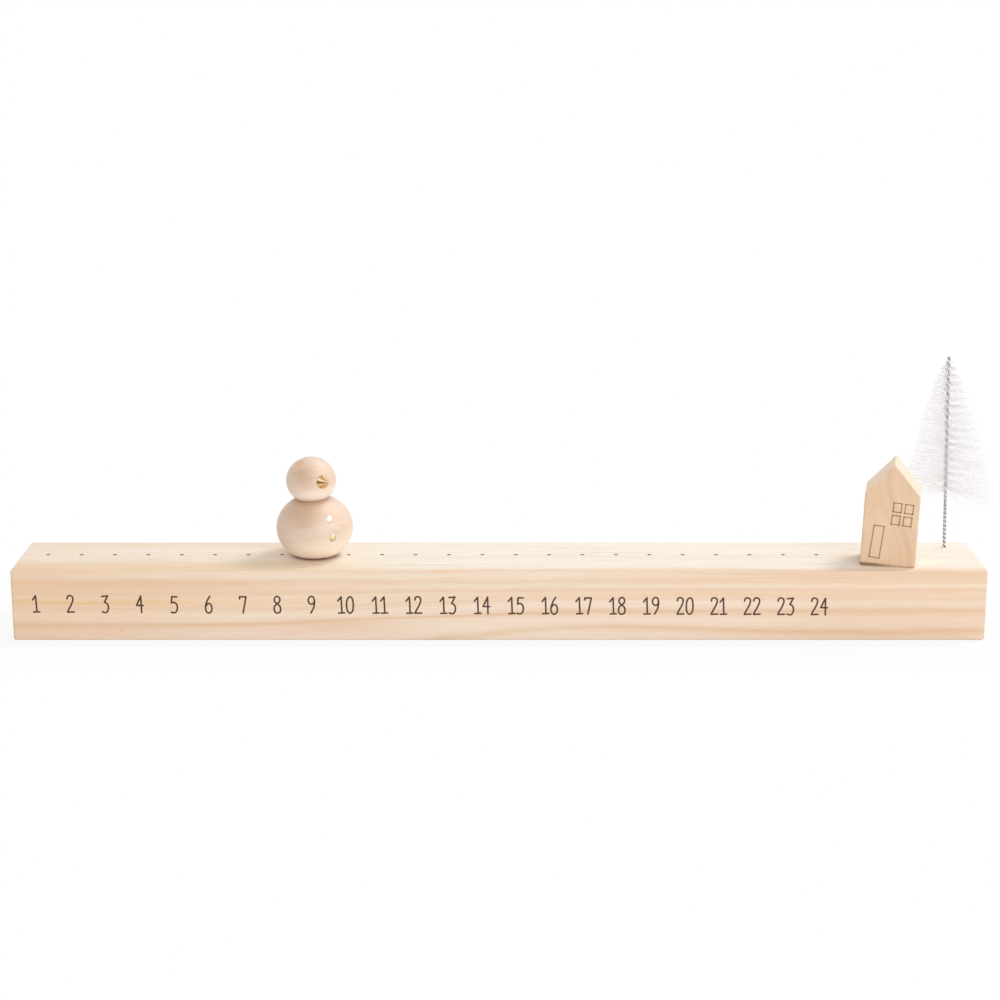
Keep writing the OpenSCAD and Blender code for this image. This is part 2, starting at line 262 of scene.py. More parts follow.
class Paint(Graph):
    """The node tree of one material."""

    def __init__(self, name: str) -> None:
        """Makes an empty material.

        Args:
            name: The material's name.
        """
        self.material = bpy.data.materials.new(name)
        self.material.use_nodes = True
        super().__init__(self.material.node_tree)
        self.tree.nodes.clear()

    def place(self, origin: Point = (0, 0, 0), turn: Point = (0, 0, 0)) -> tuple[Value, Value, Value]:
        """Gives the place on the piece in millimetres.

        Args:
            origin: The zero of the pattern, in the part's frame.
            turn: Its turn about X, Y and Z, in degrees.

        Returns:
            X, Y and Z.
        """
        values = {
            "Vector": self.made("ShaderNodeTexCoord", output="Object"),
            "Location": metres(origin),
            "Rotation": [math.radians(angle) for angle in turn],
            "Scale": (MM, MM, MM),
        }
        return self.axes(self.made("ShaderNodeMapping", values, vector_type="TEXTURE"))

    def noise(self, x: Number, y: Number, z: Number, detail: float = 2.0, rough: float = 0.5) -> Value:
        """Gives soft noise about zero, from roughly -0.5 to 0.5.

        Args:
            x: The first place number, already scaled to the noise's grain.
            y: The second.
            z: The third.
            detail: How many finer layers it has.
            rough: How strong they are.

        Returns:
            The noise.
        """
        values = {"Vector": self.vector(x, y, z), "Scale": 1.0, "Detail": detail, "Roughness": rough}
        return self.value("ShaderNodeTexNoise", values) - 0.5

    def ramp(self, factor: Number, stops: Sequence[tuple[float, Colour]]) -> NodeSocket:
        """Reads a colour off a ramp."""
        return self.made("ShaderNodeValToRGB", {"Fac": factor}, "Color", stops=stops)

    def coats(self, colour: Feed, *coats: tuple[Number, Feed]) -> Feed:
        """Lays coats of colour over a colour, one on the other.

        Args:
            colour: The lowest colour.
            coats: For each coat, how much of it shows, and its colour.

        Returns:
            The colour socket.
        """
        for share, coat in coats:
            values = {"Factor_Float": share, "A_Color": colour, "B_Color": coat}
            colour = self.made("ShaderNodeMix", values, "Result_Color", data_type="RGBA", clamp_factor=True)
        return colour

    def relief(self, height: Number, strength: float) -> NodeSocket:
        """Turns a height in millimetres into a bumped normal."""
        return self.made("ShaderNodeBump", {"Strength": strength, "Distance": MM, "Height": height})

    def settle(self, values: Feeds) -> Material:
        """Ends the tree in one surface shader, whose inputs hold the values."""
        self.node("ShaderNodeOutputMaterial", {"Surface": self.made("ShaderNodeBsdfPrincipled", values)})
        return self.material

    def sanded(self, colour: Feed, rough: Number, fibre: Value, hair: Value, dash: Value) -> Material:
        """Ends the tree of a sanded pine, with its grain in fine relief.

        Args:
            colour: The wood's colour.
            rough: Its roughness.
            fibre: Its broad fibres.
            hair: Its fine fibres.
            dash: Its short open pores.

        Returns:
            The finished material.
        """
        return self.settle({
            "Base Color": colour,
            "Roughness": rough,
            "Normal": self.relief(0.035 * fibre + 0.025 * hair - 0.03 * dash, 0.55),
            "Specular IOR Level": SANDED_GLOSS,
        })


@dataclass(frozen=True)
class BarPine:
    """Sanded pine with its rings along the bar, lifted in a low arch in the middle."""

    name: str = "bar_pine"
    pith: Flat = (-40.0, -55.0)
    first_ring: float = 57.4
    low: float = -14.0
    high: float = 50.0
    half_length: float = 200.0
    last_hole: float = 140.0

    def bands(self) -> list[tuple[float, Colour]]:
        """Lists the growth bands by their distance from the bar's underside.

        Returns:
            Ramp stops from low to high.
        """
        pale, mid, tan = tone(242, 225, 206), tone(239, 217, 196), tone(234, 208, 182)
        line, blush = tone(226, 195, 164), tone(240, 220, 204)
        cream, light = tone(248, 242, 231), tone(245, 236, 223)
        # The rings from 30.2 up, light and cream, reach only the top face: partly paler sapwood, partly
        # painted sheen that lightens the top.
        rings = [
            (-14, pale), (-9.4, blush), (-8.2, tan), (-7.0, line), (-6.2, tan), (-5.0, blush), (-1.5, pale),
            (2.6, blush), (4.6, mid), (5.8, tan), (6.6, line), (7.4, tan), (8.6, blush), (11.0, pale),
            (12.6, mid), (13.6, tan), (14.6, mid), (17.4, pale), (18.8, mid), (19.6, tan),
            (20.8, mid), (22.4, pale), (23.6, mid), (24.6, tan), (26.0, mid), (27.4, pale), (28.9, mid),
            (29.5, tan), (30.2, light), (33.0, cream), (36.2, light), (38.0, cream),
        ]
        return [((place - self.low) / (self.high - self.low), colour) for place, colour in rings]

    def material(self) -> Material:
        """Builds the material.

        Returns:
            The pine of the bar.
        """
        paint = Paint(self.name)
        x, y, z = paint.place()
        rise = 6.4 * x.ease(-110.0, 50.0)
        arch = 3.2 * x.hill(30.0, 90.0) + 4.6 * x.ease(-110.0, 40.0) + 1.4 * x.ease(150.0, 190.0)
        lowered = z - rise * z.ease(26.0, 13.0) - arch * z.ease(11.0, 7.0)
        drift = 1.5 * paint.noise(x * 0.012, y * 0.05, z * 0.06)
        sway = 1.5 * paint.noise(x * 0.03, y * 0.3, z * 0.5, 4.0, 0.62)
        radius = ((y - self.pith[0]) ** 2.0 + (lowered - self.pith[1]) ** 2.0).root()
        ring = radius - self.first_ring + drift + sway
        gold = ring.ease(14.0, 15.9) * ring.ease(18.8, 16.8)
        gold = gold * paint.noise(x * 0.02, ring * 2.6, 9.0, 3.0).ease(-0.25, 0.12)
        gold = gold * (0.3 + 0.7 * x.ease(-70.0, -170.0) + 0.3 * x.hill(100.0, 45.0))
        below_top = z.ease(30.2, 29.6)
        left_band = x.ease(-40.0, -130.0) * (ring - 23.2).hill(0.0, 1.9)
        right_band = x.ease(20.0, 150.0) * (ring - 27.6).hill(0.0, 2.4) * below_top
        fibre = paint.noise(x * 0.03, ring * 1.9, y * 0.5, 4.0, 0.65)
        hair = paint.noise(x * 0.09, y * 7.0, z * 7.0)
        lines = paint.noise(x * 0.012, ring * 3.1, 4.0).ease(0.06, 0.2)
        cloud = paint.noise(x * 0.02, y * 0.09, z * 0.09)
        warm_end = x.ease(-90.0, -200.0) * 0.34 * below_top
        knot_side = x.hill(-64.0, 24.0) * z.hill(6.2, 3.2) * 0.4
        far_end = x.ease(70.0, 175.0) * z.ease(25.0, 10.0) * 0.32
        across = z.hill(21.3, 1.9) * (0.2 + 0.06 * x.ease(0.0, 150.0))
        # A paler patch low on the front, about its middle.
        pale_low_middle = x.hill(12.0, 52.0) * z.hill(3.6, 3.4) * 0.3
        # A warmer tint over the left of the top, strongest in a strip near its front edge.
        strips = 0.18 + 0.56 * y.ease(-3.0, -14.0) * y.ease(-22.0, -19.5) + 0.2 * y.ease(9.0, 19.0)
        warm_top_left = x.ease(-20.0, -120.0) * z.ease(29.4, 29.9) * strips * (0.85 + 0.9 * fibre)
        dash = paint.noise(x * 0.35, y * 5.0, z * 5.0, 1.0).ease(0.27, 0.33)
        speck = x.hill(-155.2, 0.4) * z.hill(4.3, 0.3) * (y < BAR_FRONT + 1.0)
        beside = ((x - FIRST_HOLE) / PITCH + 0.5) % 1.0
        hole = (((beside - 0.5) * PITCH) ** 2.0 + (y - HOLE_ROW) ** 2.0).root()
        # Drill scorch at each hole's rim, and painted shade down inside each hole.
        scorch_and_hole_shade = hole.ease(1.05, 0.78) * z.ease(10.0, 12.0) * (x < self.last_hole)
        end = abs(x).ease(self.half_length - 0.7, self.half_length - 0.2)
        end_grain = paint.noise(x * 0.2, y * 3.0, z * 3.0, 3.0)
        dull = paint.noise(x * 0.06, y * 0.4, z * 0.4, 3.0).ease(-0.2, 0.3)
        colour = paint.coats(
            paint.ramp((ring - self.low) / (self.high - self.low), self.bands()),
            (gold * 0.9, tone(232, 190, 128)),
            ((left_band + right_band) * 0.5, tone(224, 184, 144)),
            (lines * 0.42, tone(222, 189, 160)),
            ((fibre + 0.8 * hair).ease(0.0, 0.38) * 0.5, tone(217, 185, 157)),
            ((fibre - 0.6 * hair).ease(0.0, -0.38) * 0.55, tone(249, 239, 225)),
            (cloud.ease(0.0, 0.3) * 0.16, tone(233, 202, 178)),
            (warm_end, tone(228, 190, 152)),
            (knot_side + far_end + across, tone(224, 188, 152)),
            (pale_low_middle, tone(249, 239, 225)),
            (warm_top_left, tone(231, 198, 154)),
            (dash * 0.3, tone(176, 138, 108)),
            (speck * 0.7, tone(158, 122, 102)),
            (scorch_and_hole_shade * 0.85, tone(122, 78, 46)),
            (end * (0.35 + end_grain), tone(205, 168, 134)),
        )
        return paint.sanded(colour, 0.56 + 0.16 * fibre + 0.05 * dull, fibre, hair, dash)


@dataclass(frozen=True)
class Outline:
    """An engraved rectangle on the house's front, by the middle of its line.

    With apart, the middle is that of two by two rectangles, set apart by that much.
    """

    middle: Flat
    turn: float
    width: float
    height: float
    apart: Flat = (0.0, 0.0)

    def edge_and_corner(self, x: Value, z: Value) -> tuple[Value, Value]:
        """Measures how far a place on the front is from the line and from its corners.

        Args:
            x: The place across the front.
            z: The place up the front.

        Returns:
            The distance from the line and the distance from the nearest corner.
        """
        angle = math.radians(self.turn)
        across, up = x - self.middle[0], z - self.middle[1]
        u = abs(across * math.cos(angle) - up * math.sin(angle))
        v = abs(across * math.sin(angle) + up * math.cos(angle))
        if any(self.apart):
            u, v = abs(u - self.apart[0] / 2), abs(v - self.apart[1] / 2)
        beyond_u, beyond_v = u - self.width / 2, v - self.height / 2
        outside = (beyond_u.most(0.0) ** 2.0 + beyond_v.most(0.0) ** 2.0).root()
        line = abs(outside + beyond_u.most(beyond_v).least(0.0))
        return line, (beyond_u**2.0 + beyond_v**2.0).root()


@dataclass(frozen=True)
class HousePine:
    """Sanded pine with upright grain that sweeps down from the left eave, and burnt lines."""

    turn: float
    front: float
    slopes: tuple[tuple[Flat, Flat], ...]
    outlines: tuple[Outline, ...]
    name: str = "house_pine"

    def material(self) -> Material:
        """Builds the material.

        Returns:
            The pine of the house.
        """
        paint = Paint(self.name)
        x, y, z = paint.place(HOUSE_FOOT, (0, 0, self.turn))
        sweep = 4.6 - 9.6 * z.ease(3.0, 35.0)
        drift = 1.6 * paint.noise(x * 0.12, y * 0.12, z * 0.05)
        ring = x - sweep + 0.45 * y + drift
        streak = (ring - 0.4).hill(0.0, 1.3) + 0.6 * (ring + 3.2).hill(0.0, 0.5)
        fibre = paint.noise(ring * 1.8, y * 0.6, z * 0.07, 4.0, 0.65)
        hair = paint.noise(x * 6.0, y * 6.0, z * 0.16)
        lines = paint.noise(ring * 2.3, 7.0, z * 0.03).ease(0.06, 0.22)
        cloud = paint.noise(x * 0.1, y * 0.1, z * 0.07)
        dash = paint.noise(x * 5.0, y * 5.0, z * 0.4, 1.0).ease(0.27, 0.33)
        sawn = paint.noise(x * 1.5, y * 0.4, z * 1.5, 3.0)
        colour = paint.coats(
            tone(233, 205, 176),
            (cloud.ease(-0.3, 0.3), tone(226, 194, 163)),
            (streak * 0.4, tone(214, 172, 132)),
            (lines * 0.18, tone(208, 170, 134)),
            ((fibre + 0.5 * hair).ease(0.0, 0.42) * 0.36, tone(208, 170, 137)),
            ((fibre - 0.4 * hair).ease(0.0, -0.4) * 0.4, tone(246, 227, 205)),
            (dash * 0.3, tone(170, 130, 100)),
        )
        # Painted light: both roof slopes and their rounded front edges are painted paler, as lit faces,
        # broken up by noise.
        for low, high in self.slopes:
            run = (Vector(high) - Vector(low)).normalized()
            depth = (z - low[1]) * run.x - (x - low[0]) * run.y
            colour = paint.coats(colour, (depth.ease(-0.5, -0.2) * (0.72 + 0.4 * sawn), tone(248, 233, 214)))
        skin = (y - self.front).ease(0.9, 0.6)
        uneven = paint.noise(x * 1.1, 3.0, z * 1.1)
        for outline in self.outlines:
            line, corner = outline.edge_and_corner(x, z)
            colour = paint.coats(
                colour,
                (line.ease(0.55, 0.1) * (0.22 + 0.4 * uneven) * skin, tone(184, 136, 92)),
                (line.ease(0.24, 0.12) * (0.6 + 0.5 * uneven) * skin, tone(136, 96, 66)),
                (corner.ease(0.42, 0.16) * skin * 0.8, tone(84, 56, 38)),
            )
        # Painted contact shadow along the foot where it stands on the bar, darker towards the left.
        foot = (z + 0.04 * x).ease(1.45, 0.8) * (0.15 + 0.6 * x.ease(4.0, -6.0))
        colour = paint.coats(colour, (foot, tone(120, 72, 34)))
        return paint.sanded(colour, 0.58 + 0.16 * fibre, fibre, hair, dash)


@dataclass(frozen=True)
class TurnedBeech:
    """Pale turned beech with fine rings left by the lathe and slanting layers of growth.

    Painted on it are shade in the neck's crease, by the seam's height and strength, and bounce
    light that makes the wood paler between the heights in pale_below. foot is how dark the
    painted contact shadow is where the ball sits on the bar, tan the middle and width of a
    patch, and knot and pores are places on the ball.
    """

    name: str
    origin: Point
    turn: Point
    slant: Flat
    layer: float
    seam: Flat
    tan: tuple[Point, float]
    pale_below: Flat
    foot: float = 0.0
    knot: Point | None = None
    pores: tuple[Point, ...] = ()

    def material(self) -> Material:
        """Builds the material.

        Returns:
            The beech of one ball.
        """
        paint = Paint(self.name)
        x, y, z = paint.place(self.origin, self.turn)
        drift = 1.8 * paint.noise(x * 0.06, y * 0.06, z * 0.06)
        ring = z + self.slant[0] * x + self.slant[1] * y + drift
        tooled = paint.noise(2.0, 5.0, z * 3.4, 3.0, 0.6)
        layers = paint.noise(x * 0.02, y * 0.02, ring / self.layer, 3.0, 0.6)
        fibre = paint.noise(x * 0.25, y * 0.25, ring * 3.2, 3.0)
        cloud = paint.noise(x * 0.07, y * 0.07, z * 0.1)
        fleck = paint.noise(x * 1.1, y * 1.1, z * 7.0, 1.0).ease(0.24, 0.31)
        (mid_x, mid_y, mid_z), wide = self.tan
        patch = ((x - mid_x) ** 2.0 + (y - mid_y) ** 2.0 + ((z - mid_z) * 1.25) ** 2.0).root()
        patch = (patch + 5.0 * paint.noise(x * 0.12, y * 0.12, ring * 0.35, 3.0)).ease(wide, 0.1 * wide)
        above_bar = paint.place()[2] - BAR_TOP
        pores = (x.hill(at[0], 0.32) * y.hill(at[1], 0.6) * z.hill(at[2], 0.22) * 0.7 for at in self.pores)
        colour = paint.coats(
            tone(235, 215, 199),
            (cloud.ease(-0.25, 0.25), tone(230, 205, 186)),
            # Painted bounce light: the lower part of the ball made paler, as light thrown up from below
            # would.
            (z.ease(*self.pale_below) * 0.85, tone(252, 239, 226)),
            (patch * 0.7, tone(206, 169, 138)),
            (layers.ease(0.0, 0.3) * 0.4, tone(212, 180, 154)),
            (layers.ease(0.0, -0.35) * 0.3, tone(246, 230, 215)),
            ((fibre + 0.8 * tooled).ease(0.0, 0.4) * (0.38 + 0.35 * patch), tone(206, 172, 146)),
            (fleck * 0.28, tone(186, 146, 118)),
            # Painted shade in the crease where the two balls meet.
            ((z - self.seam[0]).hill(0.0, 1.3) * self.seam[1], tone(160, 100, 58)),
            # Painted contact shadow along the foot where the ball sits on the bar.
            (above_bar.ease(2.0, 0.3) * self.foot, tone(122, 66, 32)),
            *((pore, tone(150, 120, 92)) for pore in pores),
        )
        if self.knot:
            aside, beside, over = (place - at for place, at in zip((x, y, z), self.knot))
            away = ((aside * 0.8) ** 2.0 + (beside * 0.8) ** 2.0 + over**2.0).root()
            away = away + 0.7 * paint.noise(x * 0.9, y * 0.9, z * 0.9)
            shadow, rim = away.ease(3.4, 0.6) * 0.5, away.hill(0.95, 0.3) * 0.55
            colour = paint.coats(colour, (shadow, tone(236, 190, 160)), (rim, tone(214, 148, 108)))
        return paint.settle({
            "Base Color": colour,
            "Roughness": 0.5 + 0.12 * fibre,
            "Normal": paint.relief(0.03 * tooled + 0.015 * fibre, 0.5),
            "Specular IOR Level": 0.45,
        })


@dataclass(frozen=True)
class DowelBeech:
    """Plain beech of the dowel, with grain along it."""

    name: str = "dowel_beech"

    def material(self) -> Material:
        """Builds the material.

        Returns:
            The beech of the dowel.
        """
        paint = Paint(self.name)
        x, y, z = paint.place()
        fibre = paint.noise(x * 3.0, y * 3.0, z * 0.15, 3.0)
        return paint.settle({
            "Base Color": paint.coats(tone(236, 208, 178), (fibre.ease(-0.3, 0.3), tone(216, 182, 150))),
            "Roughness": 0.6 + 0.1 * fibre,
            "Normal": paint.relief(0.03 * fibre, 0.5),
        })


class MetalTone(Enum):
    """The metals of the fittings, each with its colour and how dull it is."""

    BRASS = (tone(228, 206, 168), 0.46)
    # The same brass painted paler: a painted highlight, for the upper tack that catches the light.
    PALE_BRASS = (tone(250, 240, 226), 0.54)
    PIN_STEEL = (tone(200, 200, 203), 0.28)
    WIRE_STEEL = (tone(216, 209, 216), 0.34)


def shaded(colour: Colour, red: float, green: float, blue: float) -> Colour:
    """Gives a colour with each of its parts reduced to a share."""
    return (colour[0] * red, colour[1] * green, colour[2] * blue, 1.0)


@dataclass(frozen=True)
class Metal:
    """Bare metal with fine marks of the tool round an axis, and painted shade within a reach of that axis
    given by pits, as in the groove between twisted legs.
    """

    name: str
    kind: MetalTone
    origin: Point = (0, 0, 0)
    turn: Point = (0, 0, 0)
    marks: float = 9.0
    pits: Flat = (0.0, -1.0)

    def material(self) -> Material:
        """Builds the material.

        Returns:
            The metal of one kind of fitting.
        """
        colour, dull = self.kind.value
        paint = Paint(self.name)
        x, y, z = paint.place(self.origin, self.turn)
        radius = (x**2.0 + y**2.0).root()
        marks = paint.noise(radius * self.marks, z * self.marks, 1.0)
        stain = paint.noise(x * 0.8, y * 0.8, z * 0.8, 3.0)
        stained = (stain.ease(-0.15, 0.35) * 0.6, shaded(colour, 0.82, 0.78, 0.7))
        # Painted shade near the axis, on the sides of twisted legs that face each other in their groove.
        groove_shaded = (radius.ease(*self.pits), shaded(colour, 0.42, 0.39, 0.4))
        return paint.settle({
            "Base Color": paint.coats(colour, stained, groove_shaded),
            "Metallic": 1.0,
            "Roughness": dull + 0.1 * marks + 0.12 * stain.ease(0.0, 0.4),
            "Normal": paint.relief(0.008 * marks, 0.4),
        })


@dataclass(frozen=True)
class TurnedCone:
    """Brass turned to a cone, with painted reflections, bright and dark rays up the cone, and painted shade
    at its base.
    """

    origin: Point
    turn: Point
    name: str = "cone_brass"
    dull: float = 0.26

    def rays(self) -> list[tuple[float, Colour]]:
        """Lists the painted reflections, bright and dark rays round the cone, by their share of half a turn.

        Returns:
            Ramp stops.
        """
        rose, gold, brown = tone(222, 182, 142), tone(245, 208, 158), tone(148, 102, 64)
        cream, olive = tone(252, 231, 190), tone(172, 134, 86)
        return [
            (0.0, gold), (0.12, gold), (0.2, rose), (0.3, gold), (0.42, gold), (0.5, brown), (0.6, brown),
            (0.66, cream), (0.74, cream), (0.81, olive), (0.87, gold), (0.93, brown), (1.0, gold),
        ]

    def material(self) -> Material:
        """Builds the material.

        Returns:
            The brass of the nose.
        """
        paint = Paint(self.name)
        x, y, z = paint.place(self.origin, self.turn)
        wobble = 0.35 * paint.noise(x, y, z * 0.6)
        angle = paint.math("ARCTAN2", x, y) / math.pi + wobble * 0.3
        marks = paint.noise((x**2.0 + y**2.0).root() * 8.0, z * 8.0, 1.0)
        # Painted shade at the nose's base, where it meets the head.
        rim = (z.ease(0.35, 0.0) * 0.7, tone(146, 104, 70))
        return paint.settle({
            "Base Color": paint.coats(paint.ramp(angle % 1.0, self.rays()), rim),
            "Metallic": 1.0,
            "Roughness": self.dull + 0.12 * marks,
            "Normal": paint.relief(0.01 * marks, 0.4),
        })


@dataclass(frozen=True)
class Nylon:
    """Milky nylon of the bristles, thinner to the eye away from the wire than at its root."""

    name: str = "milky_nylon"
    clear: float = 0.4
    cover: float = 0.34
    left_cover: float = 0.12
    root_cover: float = 0.41
    root: Flat = (1.9, 1.0)

    def material(self) -> Material:
        """Builds the material.

        Returns:
            The nylon of the brush.
        """
        paint = Paint(self.name)
        x, y, z = paint.place(TREE_FOOT, (0, TREE_LEAN, 0))
        cloud = paint.noise(x * 0.25, y * 0.25, z * 0.5)
        inward = (x**2.0 + y**2.0).root().ease(*self.root)
        return paint.settle({
            "Base Color": paint.coats(tone(253, 251, 252), (cloud.ease(-0.3, 0.3), tone(248, 244, 248))),
            "Roughness": 0.5 + 0.08 * cloud,
            "IOR": 1.2,
            "Transmission Weight": self.clear,
            "Alpha": self.cover + self.left_cover * x.ease(1.0, -5.0) + self.root_cover * inward,
            "Specular IOR Level": 0.4,
        })


@dataclass(frozen=True)
class PrintedInk:
    """Dark brown ink that lets a little of the wood's grain through."""

    name: str = "number_ink"

    def material(self) -> Material:
        """Builds the material.

        Returns:
            The ink of the numbers.
        """
        paint = Paint(self.name)
        x, y, z = paint.place()
        grain = paint.noise(x * 0.5, y, z * 5.0, 3.0)
        patch = paint.noise(x * 1.3, y, z * 1.3)
        thin = grain.ease(0.05, 0.4) * 0.4 + patch.ease(0.05, 0.35) * 0.3
        return paint.settle({
            "Base Color": paint.coats(tone(84, 60, 53), (thin, tone(136, 104, 88))),
            "Roughness": 0.62 + 0.1 * grain,
            "Specular IOR Level": 0.3,
        })


class Recipe(Graph):
    """A Geometry Nodes tree with named inputs, run once on a piece and made plain mesh."""

    def __init__(self, name: str) -> None:
        """Makes a tree with a geometry input and output and a material input.

        Args:
            name: The tree's name.
        """
        super().__init__(bpy.data.node_groups.new(name, "GeometryNodeTree"))
        for way in ("INPUT", "OUTPUT"):
            self.tree.interface.new_socket("Geometry", in_out=way, socket_type="NodeSocketGeometry")
        self.entry = self.tree.nodes.new("NodeGroupInput")
        self.ways: dict[str, str] = {}
        (self.finish,) = self.ask("Material", "Finish")

    def ask(self, kind: str, *names: str) -> list[NodeSocket]:
        """Adds named inputs.

        Args:
            kind: Their kind of socket, such as Int or Vector.
            names: Their names.

        Returns:
            The sockets that carry them inside the tree.
        """
        sockets = []
        for name in names:
            made = self.tree.interface.new_socket(name, in_out="INPUT", socket_type="NodeSocket" + kind)
            self.ways[name] = made.identifier
            sockets.append(self.find(self.entry.outputs, made.identifier))
        return sockets

    def numbers(self, kind: str, *names: str) -> list[Value]:
        """Adds named inputs as numbers."""
        return [Value(self, socket) for socket in self.ask(kind, *names)]

    def close(self, geometry: NodeSocket) -> Recipe:
        """Realizes the instances, sets the finish and ends the tree.

        Args:
            geometry: What the tree has made.

        Returns:
            The recipe itself.
        """
        whole = self.made("GeometryNodeRealizeInstances", {"Geometry": geometry})
        dressed = self.made("GeometryNodeSetMaterial", {"Geometry": whole, "Material": self.finish})
        self.node("NodeGroupOutput", {"Geometry": dressed})
        return self

    def stand(self, geometry: NodeSocket) -> Recipe:
        """Turns and moves what was made, by two named inputs, and ends the tree with it smooth.

        Args:
            geometry: What the tree has made.

        Returns:
            The recipe itself.
        """
        (turn,), (shift,) = self.ask("Rotation", "Turn"), self.ask("Vector", "Shift")
        values = {"Geometry": geometry, "Translation": shift, "Rotation": turn}
        stood = self.made("GeometryNodeTransform", values)
        return self.close(self.made("GeometryNodeSetShadeSmooth", {"Geometry": stood}))

    def run(self, piece: Object, values: Mapping[str, object]) -> Object:
        """Runs the tree on a piece and leaves a plain mesh.

        Args:
            piece: The object that holds the tree's input mesh.
            values: What the named inputs hold.

        Returns:
            The same object with its new mesh.
        """
        modifier = piece.modifiers.new(self.tree.name, "NODES")
        modifier.node_group = self.tree
        for name, value in values.items():
            modifier[self.ways[name]] = value
        return make_plain(piece)


def make_plain(piece: Object) -> Object:
    """Turns a piece with modifiers into a plain mesh of what they make.

    Args:
        piece: The object, which keeps its name.

    Returns:
        The same object without modifiers.
    """
    bpy.context.view_layer.update()
    evaluated = piece.evaluated_get(bpy.context.evaluated_depsgraph_get())
    mesh = bpy.data.meshes.new_from_object(evaluated)
    mesh.name = piece.name
    piece.modifiers.clear()
    old, piece.data = piece.data, mesh
    bpy.data.meshes.remove(old)
    return piece


def linked(item: Object) -> Object:
    """Puts an object, lamp or camera in the scene."""
    bpy.context.scene.collection.objects.link(item)
    return item


def mesh_from(name: str, shape: bmesh.types.BMesh, place: Matrix | None = None) -> Object:
    """Turns a bmesh in millimetres into an object in metres.

    Args:
        name: The object's name.
        shape: The bmesh, which is freed.
        place: Where the shape stands in the part's frame, in millimetres.

    Returns:
        The object, at the origin.
    """
    bmesh.ops.transform(shape, matrix=Matrix.Scale(MM, 4) @ (place or Matrix()), verts=shape.verts)
    bmesh.ops.recalc_face_normals(shape, faces=shape.faces)
    mesh = bpy.data.meshes.new(name)
    shape.to_mesh(mesh)
    shape.free()
    return linked(bpy.data.objects.new(name, mesh))


def join_rings(shape: bmesh.types.BMesh, rings: Sequence[Sequence[bmesh.types.BMVert]]) -> None:
    """Joins each ring of vertices to the next by faces.

    Args:
        shape: The bmesh that holds them.
        rings: The rings. One of a single vertex closes the shape to a point.
    """
    steps = max(map(len, rings))
    for low, high in zip(rings, rings[1:]):
        for k in range(steps):
            n = (k + 1) % steps
            corners = [low[k % len(low)], low[n % len(low)], high[n % len(high)], high[k % len(high)]]
            shape.faces.new(dict.fromkeys(corners))


def soften(
    shape: bmesh.types.BMesh, edges: Sequence[bmesh.types.BMEdge], radius: float, steps: int = 6
) -> None:
    """Rounds edges of a bmesh off.

    Args:
        shape: The bmesh.
        edges: The edges.
        radius: How far from them the rounding starts.
        steps: How many faces it has.
    """
    bmesh.ops.bevel(shape, geom=edges, offset=radius, segments=steps, profile=0.5, affect="EDGES")


def lathe(profile: Sequence[Flat], steps: int) -> bmesh.types.BMesh:
    """Turns a profile round the Z axis into a closed solid.

    Args:
        profile: Points of radius and height, the first and last on the axis.
        steps: How many faces go round.

    Returns:
        The solid, in millimetres.
    """
    shape = bmesh.new()
    rings = []
    for r, height in profile:
        around = [2 * math.pi * k / steps for k in range(steps if r > 1e-6 else 1)]
        rings.append([shape.verts.new((r * math.cos(a), r * math.sin(a), height)) for a in around])
    join_rings(shape, rings)
    return shape


def smooth(piece: Object, sharp: float = 32.0, weighted: bool = True) -> Object:
    """Shades a piece smooth, with edges kept where its faces meet at a sharp angle.

    Args:
        piece: The object.
        sharp: The least angle of a sharp edge, in degrees.
        weighted: Whether broad flats stay flat beside their rounded edges.

    Returns:
        The same object.
    """
    piece.data.shade_smooth()
    piece.data.set_sharp_from_angle(angle=math.radians(sharp))
    if weighted:
        piece.modifiers.new("flats", "WEIGHTED_NORMAL").keep_sharp = True
        make_plain(piece)
    return piece


def wear(piece: Object, material: Material) -> Object:
    """Gives a piece or CAD node one finish all over.

    Args:
        piece: The piece or node.
        material: The finish.

    Returns:
        The same object.
    """
    piece.data.materials.clear()
    piece.data.materials.append(material)
    return piece


def stand_for(piece: Object, body: str, node: str, slot: str) -> Object:
    """Lets a piece ride on a body in a CAD node's place.

    Args:
        piece: The finished piece.
        body: The body.
        node: The node that it replaces.
        slot: The record's material for the piece; not used.

    Returns:
        The same piece.
    """
    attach(piece, body)
    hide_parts(node)
    return piece


def rounded(profile: Sequence[Flat], corner: int, radius: float, steps: int = 5) -> list[Flat]:
    """Rounds one corner of a profile.

    Args:
        profile: The points.
        corner: The number of the point that is rounded off.
        radius: How far along both sides the rounding starts.
        steps: How many faces it has.

    Returns:
        The profile with a short curve in place of the corner.
    """
    before, at, after = (Vector(profile[corner + k]) for k in (-1, 0, 1))
    start = at + (before - at).normalized() * min(radius, (before - at).length / 2)
    end = at + (after - at).normalized() * min(radius, (after - at).length / 2)
    curve = [start * (1 - t) ** 2 + at * 2 * t * (1 - t) + end * t * t for t in shares(steps)]
    return [*profile[:corner], *map(tuple, curve), *profile[corner + 1 :]]


def shares(steps: int) -> list[float]:
    """Lists the shares from 0 to 1 in equal steps."""
    return [k / steps for k in range(steps + 1)]


@dataclass(frozen=True)
class Cut:
    """A tool, and the rows and columns of places where it cuts, in millimetres."""

    tool: Object
    first: Sequence[float]
    columns: int = 1
    along: Sequence[float] = (0, 0, 0)
    rows: int = 1
    up: Sequence[float] = (0, 0, 0)


